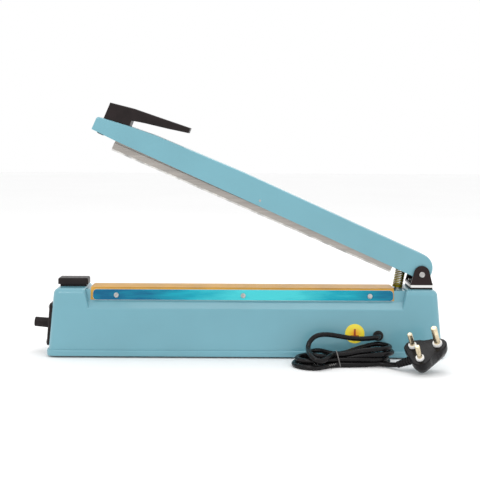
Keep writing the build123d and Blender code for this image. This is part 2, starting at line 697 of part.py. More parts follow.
# ---- seal switch under the cap on the left tower ----
guide_top = cap_bottom_z + 2.4
seat_block = block(cap_x - guide_length / 2, cap_x + guide_length / 2, -guide_width / 2, guide_width / 2,
                   casing_top_z, guide_top)
seat_block = fillet(seat_block.edges().filter_by(Axis.Z), 2)
seat_block += block(cap_x - guide_hole_l / 2 + 0.1, cap_x + guide_hole_l / 2 - 0.1, -guide_hole_w / 2 + 0.1,
                    guide_hole_w / 2 - 0.1, casing_top_z - 3 * wall, casing_top_z)
spring_room_r = 5.2
seat_block -= rod(spring_room_r, guide_top, Plane((cap_x, 0, casing_top_z)))
seat_block -= rod(stem_r + running, 40, Plane((cap_x, 0, casing_top_z - 20)))
save("switch_guide", seat_block)

cap = block(cap_x - cap_length / 2, cap_x + cap_length / 2, -cap_width / 2, cap_width / 2,
            cap_bottom_z, cap_top_z)
cap = fillet(cap.edges().filter_by(Axis.Z), 3)
cap = fillet(cap.faces().sort_by(Axis.Z)[-1].edges(), 2.4)
inner_l = cap_length - 2 * cap_wall
inner_w = cap_width - 2 * cap_wall
cap -= block(cap_x - inner_l / 2, cap_x + inner_l / 2, -inner_w / 2, inner_w / 2,
             cap_bottom_z, cap_top_z - cap_wall)
save("switch_cap", cap)
stem_top = cap_top_z - cap_wall
stem_low = casing_top_z - 13.0
stem = rod(stem_r, stem_low - stem_top, Plane((cap_x, 0, stem_top)))
save("switch_stem", chamfer(stem.edges().group_by(Axis.Z)[0], 1.6))
cap_spring_height = stem_top - casing_top_z - 0.3
save("cap_spring", ring(stem_r + 1.6, stem_r + 0.7, cap_spring_height, Plane((cap_x, 0, casing_top_z))))

lever_thickness = 0.8
lever_gap = 0.5
lever_reach = 14.5             # lever pin to the stem
lever_rise = 1.2               # lever above its pin
lever_pivot = (cap_x - lever_reach, stem_low - lever_gap - lever_thickness - lever_rise)
lever_r = 1.0
switch_length = 27.8
switch_x0 = lever_pivot[0] - 3
switch_top = lever_pivot[1] - 4.2
switch_width = 10.3
micro = block(switch_x0, switch_x0 + switch_length, -switch_width / 2, switch_width / 2,
              switch_top - 15.9, switch_top)
for side in (-1, 1):
    cheek_y = sorted((side * (switch_width / 2 - 1.0), side * switch_width / 2))
    micro += block(lever_pivot[0] - 2, lever_pivot[0] + 2, *cheek_y, switch_top, lever_pivot[1] + 2)
lever_axis = Plane(origin=(lever_pivot[0], 0, lever_pivot[1]), x_dir=(1, 0, 0), z_dir=(0, 1, 0))
micro -= extrude(lever_axis * Circle(lever_r + running), switch_width, both=True)
fix_z = switch_top - 12.5
fix_x = (switch_x0 + 2.8, switch_x0 + 25.0)
for x in fix_x:
    micro -= extrude(Plane(origin=(x, 0, fix_z), z_dir=(0, 1, 0)) * Circle(1.55), switch_width, both=True)
save("micro_switch", micro)
lever_half = switch_width / 2 - 1.2
lever = block(lever_pivot[0], cap_x + 4, -lever_half + 0.6, lever_half - 0.6, lever_pivot[1] + lever_rise,
              lever_pivot[1] + lever_rise + lever_thickness)
lever += extrude(lever_axis * Circle(lever_r), switch_width / 2, both=True)
lever += block(lever_pivot[0] - 1, lever_pivot[0] + 1, -lever_half + 0.6, lever_half - 0.6, lever_pivot[1],
               lever_pivot[1] + lever_rise + lever_thickness)
save("switch_lever", lever)

bracket_sheet = 1.2
hanger_y = switch_width / 2
ceiling = casing_top_z - wall
hanger_x = (switch_x0 + 0.5, switch_x0 + switch_length + 0.5)
hanger = block(*hanger_x, hanger_y, hanger_y + bracket_sheet, switch_top - 16, ceiling)
hanger += block(*hanger_x, hanger_y, hanger_y + 10, ceiling - bracket_sheet, ceiling)
hanger -= block(hanger_x[0] + 3, hanger_x[1] - 3, hanger_y - 1, hanger_y + 2, switch_top + 1, ceiling - 4)
hanger -= block(hanger_x[0] - 1, hanger_x[0] + 6, hanger_y - 1, hanger_y + 12, ceiling - 6, ceiling + 1)
hanger -= block(cap_x - guide_hole_l / 2 - 1, cap_x + guide_hole_l / 2 + 1, 0, guide_hole_w / 2 + 0.6,
                casing_top_z - 4 * wall, casing_top_z)
micro_screws = []
for x in fix_x:
    plane = Plane(origin=(x, hanger_y + bracket_sheet, fix_z), z_dir=(0, 1, 0))
    hanger -= rod(1.6, -2 * bracket_sheet, plane.offset(0.1))
    micro_screws.append(pan_head(2.6, 1.8, 1.5, switch_width + bracket_sheet + 1, plane))
save("switch_bracket", hanger)
save("switch_screws", *micro_screws)

# ---- transformer ----
core_x = body_x - 60.0
core_l = 66.0
core_h = 52.0
core_t = 28.0
core_low = post_low + 1.2
core = block(core_x - core_l / 2, core_x + core_l / 2, -core_t / 2, core_t / 2, core_low, core_low + core_h)
leg = core_l / 6
core_mid = core_low + core_h / 2
window_h = core_h - 2 * leg
for side in (-1, 1):
    x = core_x + side * core_l / 4
    core -= block(x - leg / 2, x + leg / 2, -core_t, core_t,
                  core_mid - window_h / 2, core_mid + window_h / 2)
save("transformer_core", core)
coil_out = core_l / 4 + leg / 2 - 0.4
coil_y = core_t / 2 + 10.0
coil = block(core_x - coil_out, core_x + coil_out, -coil_y, coil_y, core_mid - window_h / 2 + 0.5,
             core_mid + window_h / 2 - 0.5)
coil = fillet(coil.edges().filter_by(Axis.Z), 3)
coil -= block(core_x - core_l / 4 + leg / 2 - 0.2, core_x + core_l / 4 - leg / 2 + 0.2, -core_t / 2 - 0.2,
              core_t / 2 + 0.2, core_low, core_low + core_h)
save("transformer_coil", coil)
band = 1.2
band_foot = 10.0
strap_half = 8.0
strap = block(core_x - core_l / 2 - band, core_x + core_l / 2 + band, -strap_half, strap_half,
              post_low, core_low + core_h + band)
strap -= block(core_x - core_l / 2, core_x + core_l / 2, -core_t, core_t, core_low, core_low + core_h)
for side in (-1, 1):
    x0 = core_x + side * core_l / 2
    x1 = x0 + side * (band + band_foot)
    strap += block(min(x0, x1), max(x0, x1), -strap_half, strap_half, post_low, post_low + band)
    place = Plane((x0 + side * (band + band_foot / 2), 0, post_low + band))
    strap -= rod(1.8, -3 * band, place.offset(1))
    plate -= rod(1.8, -3 * plate_thickness, place)
    case_screws.append(pan_head(*case_screw, band + plate_thickness, place))
save("transformer_strap", strap)
save("case_screws", *case_screws)
save("bottom_plate", plate)

# ---- timer board ----
board_x = left_x + 72.5
board_l = 62.0
board_w = 48.0
board_z = post_low + 8.0
deck_of_board = board_z + 1.6
board = block(board_x - board_l / 2, board_x + board_l / 2, -board_w / 2, board_w / 2,
              board_z, deck_of_board)
standoffs = []
for i in (-1, 1):
    for j in (-1, 1):
        x = board_x + i * (board_l / 2 - 4)
        y = j * (board_w / 2 - 4)
        board -= rod(1.6, 4, Plane((x, y, board_z - 1)))
        leg_post = rod(3.0, board_z - post_low, Plane((x, y, post_low)))
        standoffs.append(leg_post + rod(1.6, 2.6, Plane((x, y, board_z))))
save("timer_board", board)
save("board_standoffs", *standoffs)
relay = block(board_x - 24, board_x - 5, -16, 0, deck_of_board, deck_of_board + 15.5)
relay = chamfer(relay.edges().group_by(Axis.Z)[-1], 0.8)
caps = [rod(r, h, Plane((board_x + x, y, deck_of_board))) for r, h, x, y in
        ((5.0, 16.0, 6.0, 10.0), (4.0, 11.5, 18.0, 12.0), (3.2, 9.0, 20.0, -2.0))]
caps = [fillet(can.faces().sort_by(Axis.Z)[-1].edges(), 0.6) for can in caps]
save("board_components", relay, *caps)

# ---- cord grommet, label, earth screw ----
gland_plane = front_plane(gland_x, gland_z)
gland = extrude(gland_plane * Circle(gland_r), gland_lip)
gland = fillet(gland.faces().sort_by_distance(gland_plane.offset(30).origin)[0].edges(), 1.4)
gland += rod(gland_body_r, -(wall + 1.5), gland_plane)
gland += rod(gland_r - 0.6, -2.0, gland_plane.offset(-wall - 0.2))
gland -= rod(cord_r, 30, gland_plane.offset(-15))
save("cord_grommet", gland)
label_plane = front_plane(gland_x - label_from_gland, label_z)
save("warning_disc", rod(label_r, 0.3, label_plane))
earth_plane = Plane((gland_x - 40, 10, post_low))
earth = rod(2.0, 12.0, earth_plane) + extrude(earth_plane.offset(3.0) * RegularPolygon(3.8, 6), 3.0)
earth += extrude(earth_plane.offset(7.0) * RegularPolygon(3.8, 6), 3.0)
save("earth_stud", earth)


# ---- cord ----
def cord_tube(points, radius, label):
    """Straight runs joined by tangent arcs, each arc as large as its two runs allow."""
    places = [Vector(*point) for point in points]
    radii = []
    for before, here, after in zip(places, places[1:], places[2:]):
        first = here - before
        second = after - here
        half_turn = radians(first.get_angle(second)) / 2
        radii.append(0.45 * min(first.length, second.length) / tan(half_turn))
    path = FilletPolyline(*places, radius=radii)
    start = Plane(origin=places[0], z_dir=places[1] - places[0])
    tube = sweep(start * Circle(radius), path=path)
    expected = pi * radius ** 2 * path.length
    print(label, "length", round(path.length, 1), "volume ratio", round(tube.volume / expected, 4))
    print(label, "radii", [round(value, 1) for value in radii])
    return tube


exit_out = gland_lip
exit_at = gland_plane.origin + front_normal * exit_out
lead_points = [
    (exit_at.X, exit_at.Y, exit_at.Z),
    (exit_at.X, exit_at.Y - 9.0, exit_at.Z + 0.8),
    (exit_at.X - 6.0, exit_at.Y - 17.0, exit_at.Z + 1.2),
    (exit_at.X - 17.0, exit_at.Y - 20.5, exit_at.Z + 0.6),
    (exit_at.X - 33.0, exit_at.Y - 21.0, exit_at.Z + 0.2),
    (exit_at.X - 53.0, exit_at.Y - 20.0, exit_at.Z + 3.2),
    (exit_at.X - 71.0, exit_at.Y - 19.5, exit_at.Z + 6.2),
    (exit_at.X - 86.0, exit_at.Y - 21.5, exit_at.Z + 4.6),
    (exit_at.X - 95.0, exit_at.Y - 27.0, exit_at.Z - 3.5),
    (exit_at.X - 96.5, exit_at.Y - 36.0, exit_at.Z - 10.5),
]
save("cord_lead", cord_tube(lead_points, cord_r, "cord_lead"))

# the folded hank: one closed solid of its outer shape
hank_left = body_x + 59.0
hank_right = body_x + 192.0
hank_plan = [(hank_left, -54), (hank_left, -98), (hank_left + 14, -116), (hank_left + 50, -122),
             (hank_left + 112, -96), (hank_right, -80), (hank_right, -56), (hank_right - 12, -47),
             (hank_left + 22, -47)]
hank_front_view = [(hank_left - 5, 0.3), (hank_left - 5, 11), (hank_left + 12, 18), (hank_left + 50, 27),
                   (hank_right - 10, 28), (hank_right + 5, 20), (hank_right + 5, 0.3)]
hank_end_view = [(-40, 0.3), (-40, 30), (-60, 28), (-84, 22), (-112, 11), (-130, 7), (-130, 0.3)]
hank = extrude(outline(hank_plan), 40) & prism_y(hank_front_view, 150)
hank = hank & prism_x(hank_end_view, hank_left - 20, hank_right + 20)
save("cord_hank", hank)

tail_points = [
    (hank_right - 22.0, -84.0, 4.6),
    (hank_right - 12.0, -87.5, 4.2),
    (hank_right - 3.5, -93.5, 4.8),
    (hank_right + 1.8, -101.0, 6.8),
]
save("cord_tail", cord_tube(tail_points, cord_r, "cord_tail"))

# ---- plug, tipped back on the floor with its pins up ----
pin_spacing = 25.4
earth_offset = 28.6
line_pin_r = 3.2
earth_pin_r = 3.9
line_pin_l = 18.6
earth_pin_l = 25.5
plug_depth = 19.0
plug_round = 11.5
face_normal = Vector(-0.289, -0.478, 0.829)
to_earth = Vector(0.932, 0.059, 0.359)
plug_plane = Plane(origin=(body_x + 215.0, -116.4, 26.6), x_dir=to_earth, z_dir=face_normal)
pin_places = [(0, -pin_spacing / 2), (0, pin_spacing / 2), (earth_offset, 0)]


def rounded_triangle(radius):
    edges = []
    for place in pin_places:
        edges += (Pos(*place) * Circle(radius)).edges()
    return make_hull(edges)


plug_back_round = 6.0
plug = loft([plug_plane * rounded_triangle(plug_round),
             plug_plane.offset(-plug_depth) * rounded_triangle(plug_back_round)])
plug = fillet(plug.faces().sort_by_distance(plug_plane.offset(60).origin)[0].edges(), 1.5)
relief_start = plug_plane.origin + plug_plane.x_dir * (-plug_round + 3.0) + plug_plane.z_dir * -9.0
tail_end = Vector(*tail_points[-1])
relief_plane = Plane(origin=tail_end, z_dir=relief_start - tail_end)
relief_length = (relief_start - tail_end).length
relief = extrude(relief_plane * Circle(4.2), relief_length + 3.0, taper=-4)
for k in range(4):
    relief -= ring(9, 4.3 + 0.3 * k, 1.2, relief_plane.offset(3.0 + 3.6 * k))
relief -= plug
relief = relief.solids().sort_by(SortBy.VOLUME)[-1]
collars = []
pins = []
for place, radius, length in zip(pin_places, (line_pin_r, line_pin_r, earth_pin_r),
                                 (line_pin_l, line_pin_l, earth_pin_l)):
    spot = at(plug_plane, *place)
    pin_rod = rod(radius, length + 9.0, spot.offset(-6.0))
    pin_rod = chamfer(pin_rod.faces().sort_by_distance(spot.offset(90).origin)[0].edges(), 0.8)
    plug -= rod(radius, 6.0, spot.offset(-6.0))
    collar = ring(radius + 2.0, radius, 3.0, spot)
    pins.append(pin_rod)
    collars.append(collar)
save("plug_body", plug)
save("plug_relief", relief)
save("plug_pins", *pins)
save("plug_collars", *collars)

# ---- wires inside the casing ----
wire_r = 1.1


def wire(points):
    places = [Vector(*point) for point in points]
    path = FilletPolyline(*places, radius=6.0)
    return sweep(Plane(origin=places[0], z_dir=places[1] - places[0]) * Circle(wire_r), path=path)


wires = []
for x, side in zip(block_x, (-1, 1)):
    coil_side = core_x + side * (coil_out - 6)
    over_core = core_low + core_h + 5
    wires.append(wire([(x, -4, block_low), (x, -4, block_low - 16), (coil_side, -4 - side * 8, over_core),
                       (coil_side, -coil_y + 4, over_core),
                       (coil_side, -coil_y + 4, core_mid + window_h / 2 - 0.5)]))
save("element_leads", *wires)
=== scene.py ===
"""Impulse heat sealer: the looks around its fixed frame, laid out as an add-on. Metres, +Z up."""
import json
from math import atan, cos, pi, radians, sin

import bmesh
import bpy
from mathutils import Matrix, Vector


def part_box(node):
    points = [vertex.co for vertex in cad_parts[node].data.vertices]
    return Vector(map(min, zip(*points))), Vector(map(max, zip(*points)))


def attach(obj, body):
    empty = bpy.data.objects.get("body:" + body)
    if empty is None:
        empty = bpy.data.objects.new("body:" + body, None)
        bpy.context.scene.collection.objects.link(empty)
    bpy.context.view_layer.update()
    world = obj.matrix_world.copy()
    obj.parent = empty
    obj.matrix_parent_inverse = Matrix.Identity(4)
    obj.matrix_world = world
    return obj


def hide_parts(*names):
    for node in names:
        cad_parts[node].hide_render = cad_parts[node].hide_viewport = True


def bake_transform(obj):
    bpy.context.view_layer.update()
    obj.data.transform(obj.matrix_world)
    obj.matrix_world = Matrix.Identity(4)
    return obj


bl_info = {
    "name": "Impulse Heat Sealer",
    "version": (1, 0, 0),
    "blender": (4, 5, 0),
    "location": "3D View > Sidebar > Heat Sealer",
    "description": "Builds the cloth, films, springs, cord, plug and finishes of an impulse heat sealer",
    "category": "Add Mesh",
}

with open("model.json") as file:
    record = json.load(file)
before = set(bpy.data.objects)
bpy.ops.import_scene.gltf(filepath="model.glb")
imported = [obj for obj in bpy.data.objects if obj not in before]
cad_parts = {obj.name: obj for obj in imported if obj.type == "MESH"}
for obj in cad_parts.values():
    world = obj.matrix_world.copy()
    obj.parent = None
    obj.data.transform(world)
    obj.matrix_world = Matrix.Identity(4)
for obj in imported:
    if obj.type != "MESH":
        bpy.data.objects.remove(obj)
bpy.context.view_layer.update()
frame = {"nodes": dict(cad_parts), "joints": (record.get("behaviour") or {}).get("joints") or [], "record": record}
MM = 0.001


# ---- places taken from the frame ----
def middle(node):
    low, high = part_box(node)
    return (low + high) / 2


def joint_place(name):
    return Vector(next(joint["pos_m"] for joint in frame["joints"] if joint["name"] == name))


DIAL = joint_place("timer_knob_turn")
CLOTH_LOW, CLOTH_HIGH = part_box("ptfe_cover")
STRIP_LOW, STRIP_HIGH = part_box("retaining_strip_front")
DRAFT = radians(5.0)
STRIP_SCREW_X = (-0.16296, 0.00804, 0.17904)
STRIP_SCREW_Z = 0.0820
STRIP_SLOPE_Y, STRIP_SLOPE_Z = 4.0, 15.0  # the deck's steep side falls this far down for this far out
SPRING_FOOT, SPRING_TOP = (0.21924, 0.0, 0.0907), (0.22558, 0.0, 0.12877)
DIAL_FACE = 0.00452  # from the dial's origin out to just over its panel
KNOB_END = 0.02704  # from the dial's origin out to just over the knob's end


# ---- sizes and colours that a user would change ----
def colour(name, about, value):
    return bpy.props.FloatVectorProperty(name=name, description=about, default=value, subtype="COLOR",
                                         size=3, min=0.0, max=1.0)


def size(name, about, value):
    return bpy.props.FloatProperty(name=name, description=about, default=value, unit="LENGTH", min=0.0,
                                   precision=5)


class SealerCamera(bpy.types.PropertyGroup):
    distance: size("Distance", "From the camera to the middle plane of the sealer", 1.300)
    height: size("Height", "Camera above the table", 0.292)
    aside: size("Aside", "Camera to the right of the sealer's middle", 0.0034)
    lens: bpy.props.FloatProperty(name="Lens", description="Focal length in millimetres", default=71.8)
    pitch: bpy.props.FloatProperty(name="Pitch", description="Camera looks down by this angle",
                                   default=radians(6.0), subtype="ANGLE")
    roll: bpy.props.FloatProperty(name="Roll", description="Camera leans by this angle",
                                  default=radians(0.3), subtype="ANGLE")


class SealerColours(bpy.types.PropertyGroup):
    body: colour("Body Enamel", "Enamel of the casing", (0.140, 0.350, 0.420))
    arm: colour("Arm Enamel", "Enamel of the arm", (0.150, 0.370, 0.440))
    cloth: colour("Cloth", "Coated glass cloth over the bed", (0.60, 0.315, 0.045))
    # Film, Deep is the film's own deep blue, also used as painted shade in its wrinkle streaks, not a colour of
    # thick folds; Film, Pale is the colour of a painted highlight along the film's middle, not of thin stretched
    # film.
    film_deep: colour("Film, Deep", "Thick folds of the blue film", (0.000, 0.105, 0.215))
    film_highlight: colour("Film, Pale", "Thin stretched areas of the blue film", (0.005, 0.330, 0.430))
    spring: colour("Spring", "Yellow zinc plating", (0.270, 0.215, 0.012))
    disc: colour("Disc", "Yellow of the printed disc", (0.960, 0.780, 0.045))
    disc_glow: colour("Disc, Middle", "Orange at the middle of the disc", (1.000, 0.400, 0.020))
    disc_mark: colour("Disc Mark", "Mark on the disc", (0.420, 0.060, 0.010))
    floor: colour("Floor", "Pale floor", (0.97, 0.97, 0.97))


class SealerCord(bpy.types.PropertyGroup):
    diameter: size("Diameter", "Mains cord across its sheath", 0.0064)
    tie_left: size("Tie, Left", "Where the straight middle of the hank starts", 0.125)
    tie_right: size("Tie, Right", "Where the straight middle of the hank ends", 0.138)
    tie_wire: size("Tie Wire", "Plastic coated wire of the twist tie", 0.0013)


class SealerCloth(bpy.types.PropertyGroup):
    thickness: size("Cloth Thickness", "Coated glass cloth", 0.00025)
    film: size("Film Thickness", "Peel-off film on the retaining strips", 0.00012)
    wrinkle: size("Film Wrinkle", "Height of the film's wrinkles", 0.00055)


class SealerSprings(bpy.types.PropertyGroup):
    wire: size("Arm Spring Wire", "Wire of the arm's lifting spring", 0.0018)
    radius: size("Arm Spring Radius", "Middle of the wire to the spring's line", 0.0063)
    turns: bpy.props.IntProperty(name="Arm Spring Turns", description="Open turns of the lifting spring",
                                 default=13, min=3)
    cap_wire: size("Cap Spring Wire", "Wire of the switch cap's spring", 0.0006)
    cap_radius: size("Cap Spring Radius", "Middle of the wire to the stem's line", 0.0042)


class SealerDial(bpy.types.PropertyGroup):
    marks: bpy.props.IntProperty(name="Marks", description="Numbers round the timer knob", default=9, min=2)
    radius: size("Radius", "Knob's line to the numbers", 0.0140)
    text: size("Text", "Height of the numbers", 0.0042)


GROUPS = {
    "sealer_camera": SealerCamera, "sealer_colours": SealerColours, "sealer_cord": SealerCord,
    "sealer_cloth": SealerCloth, "sealer_springs": SealerSprings, "sealer_dial": SealerDial,
}


# ---- node trees ----
class Finish:
    """One procedural material, read in Object coordinates."""

    def __init__(self, name, base, rough, metal=0.0, **sockets):
        self.material = bpy.data.materials.new(name)
        self.material.use_nodes = True
        self.tree = self.material.node_tree
        self.shader = self.tree.nodes["Principled BSDF"]
        self.shader.inputs["Base Color"].default_value = (*base, 1.0)
        self.shader.inputs["Roughness"].default_value = rough
        self.shader.inputs["Metallic"].default_value = metal
        for socket, value in sockets.items():
            self.shader.inputs[socket.replace("_", " ")].default_value = value
        self.base = base
        self.height = None
        self.place = self.node("ShaderNodeTexCoord").outputs["Object"]

    def node(self, kind, **values):
        made = self.tree.nodes.new(kind)
        for name, value in values.items():
            if name in made.inputs:
                made.inputs[name].default_value = value
            else:
                setattr(made, name, value)
        return made

    def link(self, source, target):
        self.tree.links.new(source, target)

    def stretched(self, scale, turn=(0, 0, 0), shift=(0, 0, 0)):
        mapping = self.node("ShaderNodeMapping")
        mapping.inputs["Scale"].default_value = scale
        mapping.inputs["Rotation"].default_value = turn
        mapping.inputs["Location"].default_value = shift
        self.link(self.place, mapping.inputs["Vector"])
        return mapping.outputs["Vector"]

    def noise(self, scale, detail=4.0, rough=0.5, vector=None):
        made = self.node("ShaderNodeTexNoise", Scale=scale, Detail=detail, Roughness=rough)
        self.link(vector or self.place, made.inputs["Vector"])
        return made.outputs["Fac"]

    def ramp(self, source, stops):
        made = self.node("ShaderNodeValToRGB")
        elements = made.color_ramp.elements
        while len(elements) < len(stops):
            elements.new(0.5)
        for element, (where, value) in zip(elements, stops):
            element.position = where
            element.color = (*value, 1.0) if len(value) == 3 else value
        self.link(source, made.inputs["Fac"])
        return made.outputs["Color"]

    def span(self, source, low, high, from_low=0.0, from_high=1.0):
        made = self.node("ShaderNodeMapRange")
        limits = {"From Min": from_low, "From Max": from_high, "To Min": low, "To Max": high}
        for socket, value in limits.items():
            made.inputs[socket].default_value = value
        self.link(source, made.inputs["Value"])
        return made.outputs["Result"]

    def math(self, operation, first, second=None):
        made = self.node("ShaderNodeMath", operation=operation)
        for socket, value in zip(made.inputs, (first, second)):
            if isinstance(value, (int, float)):
                socket.default_value = value
            elif value is not None:
                self.link(value, socket)
        return made.outputs["Value"]

    def tint(self, source, dark, pale, low=0.3, high=0.7):
        """Base colour from dark to pale times itself, by source."""
        stops = [(low, [dark * c for c in self.base]), (high, [min(1.0, pale * c) for c in self.base])]
        self.link(self.ramp(source, stops), self.shader.inputs["Base Color"])

    def roughness(self, source, low, high):
        self.link(self.span(source, low, high), self.shader.inputs["Roughness"])

    def bump(self, source, strength, depth):
        made = self.node("ShaderNodeBump", Strength=strength, Distance=depth)
        self.link(source, made.inputs["Height"])
        if self.height is not None:
            self.link(self.height, made.inputs["Normal"])
        self.height = made.outputs["Normal"]
        self.link(self.height, self.shader.inputs["Normal"])


def enamel(name, base, coat=0.5, shine=0.5):
    """Satin sprayed enamel with a faint orange peel."""
    made = Finish(name, base, 0.34, Coat_Weight=coat, Coat_Roughness=0.10, Specular_IOR_Level=shine)
    made.tint(made.noise(9.0, 3.0), 0.94, 1.05)
    made.roughness(made.noise(60.0, 3.0), 0.28, 0.42)
    made.bump(made.noise(420.0, 2.0), 0.06, 0.0003)
    made.bump(made.noise(40.0, 2.0), 0.06, 0.002)
    return made.material


def moulded(name, base, rough=0.42, grain=1600.0):
    """Moulded plastic with a fine spark-eroded grain."""
    made = Finish(name, base, rough, Specular_IOR_Level=0.20)
    made.tint(made.noise(60.0, 4.0), 0.75, 1.3)
    made.roughness(made.noise(220.0, 4.0), rough - 0.08, rough + 0.12)
    made.bump(made.noise(grain, 3.0), 0.22, 0.0003)
    return made.material


def soft_rubber(name, base, rough=0.62):
    made = Finish(name, base, rough, Specular_IOR_Level=0.22)
    made.tint(made.noise(90.0, 5.0), 0.7, 1.5)
    made.roughness(made.noise(300.0, 4.0), rough - 0.1, rough + 0.15)
    made.bump(made.noise(900.0, 4.0), 0.25, 0.0003)
    return made.material


def smooth_sheath(name, base):
    """Shiny extruded cord sheath with faint lengthways unevenness and dust."""
    made = Finish(name, base, 0.24, Specular_IOR_Level=0.20)
    made.tint(made.noise(70.0, 5.0), 0.7, 2.0)
    made.roughness(made.noise(160.0, 4.0), 0.16, 0.38)
    made.bump(made.noise(260.0, 2.0), 0.07, 0.0003)
    return made.material


def plated(name, base, rough=0.28, grain=500.0):
    """Plated steel with small stains and a slightly uneven shine."""
    made = Finish(name, base, rough, 1.0)
    made.tint(made.noise(180.0, 6.0), 0.72, 1.15)
    made.roughness(made.noise(grain, 4.0), rough - 0.1, rough + 0.18)
    made.bump(made.noise(1400.0, 3.0), 0.08, 0.0002)
    return made.material


def brushed(name, base, along=(6.0, 900.0, 900.0), rough=0.36, metal=1.0, turn=(0, 0, 0)):
    """Extruded metal with die lines along its length."""
    made = Finish(name, base, rough, metal)
    lines = made.noise(1.0, 5.0, 0.6, made.stretched(along, turn))
    made.tint(lines, 0.80, 1.12)
    made.roughness(lines, rough - 0.08, rough + 0.16)
    made.bump(lines, 0.14, 0.0002)
    made.bump(made.noise(300.0, 5.0), 0.05, 0.0003)
    return made.material


def woven(name, base, dark=0.78, pale=1.12, pitch=0.0011, rough=0.38):
    """Coated glass cloth: a fine plain weave under a smooth coat, darker where it was heated."""
    made = Finish(name, base, rough, Specular_IOR_Level=0.25)
    waves = [made.node("ShaderNodeTexWave", wave_type="BANDS", bands_direction=axis, Scale=0.5 / pitch)
             for axis in ("X", "Y")]
    for wave in waves:
        made.link(made.place, wave.inputs["Vector"])
    weave = made.math("MULTIPLY", waves[0].outputs["Fac"], waves[1].outputs["Fac"])
    made.tint(made.math("ADD", made.math("MULTIPLY", made.noise(22.0, 6.0), 0.8),
                        made.math("MULTIPLY", weave, 0.2)), dark, pale)
    made.roughness(made.noise(120.0, 4.0), rough - 0.08, rough + 0.12)
    made.bump(weave, 0.25, 0.00012)
    made.bump(made.noise(55.0, 3.0), 0.25, 0.0012)
    return made.material


def blue_film(name, colours):
    """Thin glossy film: deep blue at its ends, with a painted cyan highlight along the middle and painted sheen
    and shade streaked along its wrinkles.
    """
    made = Finish(name, colours.film_deep, 0.12, Specular_IOR_Level=0.25)
    split = made.node("ShaderNodeSeparateXYZ")
    made.link(made.place, split.inputs["Vector"])
    centre = (STRIP_LOW.x + STRIP_HIGH.x) / 2
    away = made.math("ABSOLUTE", made.math("SUBTRACT", split.outputs["X"], centre + 0.03))
    # painted highlight: the film is paled to cyan towards a spot just right of its middle, as if light falls there
    painted_highlight_band = made.span(away, 1.0, 0.0, 0.01, 0.17)
    # streaks along the wrinkles: in the colour they are painted sheen and painted shade over the real displaced
    # wrinkles; they also vary the roughness
    wrinkle_sheen_streaks = made.noise(1.0, 5.0, 0.55, made.stretched((26.0, 90.0, 150.0), (0, 0.02, 0)))
    mix = made.math("ADD", made.math("MULTIPLY", painted_highlight_band, 0.75), made.math("MULTIPLY", wrinkle_sheen_streaks, 0.55))
    # the last stop is a painted glint of near-white cyan
    stops = [(0.22, colours.film_deep), (0.60, colours.film_highlight), (0.95, (0.06, 0.56, 0.60))]
    made.link(made.ramp(mix, stops), made.shader.inputs["Base Color"])
    made.roughness(wrinkle_sheen_streaks, 0.06, 0.22)
    made.bump(made.noise(1.0, 4.0, 0.5, made.stretched((60.0, 220.0, 220.0))), 0.35, 0.0006)
    return made.material


def laminated(name, base):
    made = Finish(name, base, 0.5, 0.6)
    lines = made.node("ShaderNodeTexWave", wave_type="BANDS", bands_direction="Y", Scale=320.0)
    made.link(made.place, lines.inputs["Vector"])
    made.tint(lines.outputs["Fac"], 0.6, 1.2)
    made.bump(lines.outputs["Fac"], 0.4, 0.0003)
    made.roughness(made.noise(200.0), 0.4, 0.65)
    return made.material


def clear_lens(name, base):
    made = Finish(name, base, 0.12, Coat_Weight=0.6, Coat_Roughness=0.05, Transmission_Weight=0.25)
    made.tint(made.noise(400.0, 2.0), 0.8, 1.2)
    made.roughness(made.noise(500.0), 0.08, 0.2)
    return made.material


def printed_disc(name, colours):
    """Printed vinyl: yellow, warmer towards the middle."""
    made = Finish(name, colours.disc, 0.32, Coat_Weight=0.3, Coat_Roughness=0.15)
    centre = middle("warning_disc")
    offset = made.node("ShaderNodeVectorMath", operation="DISTANCE")
    made.link(made.place, offset.inputs[0])
    offset.inputs[1].default_value = centre
    stops = [(0.0, colours.disc_glow), (0.42, (1.0, 0.62, 0.03)), (0.70, colours.disc)]
    low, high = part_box("warning_disc")
    away = made.span(offset.outputs["Value"], 0.0, 1.0, 0.0, (high.x - low.x) / 2)
    blur = made.math("ADD", away, made.span(made.noise(160.0, 4.0), -0.12, 0.12))
    made.link(made.ramp(blur, stops), made.shader.inputs["Base Color"])
    made.roughness(made.noise(300.0), 0.25, 0.45)
    made.bump(made.noise(120.0), 0.1, 0.0004)
    return made.material


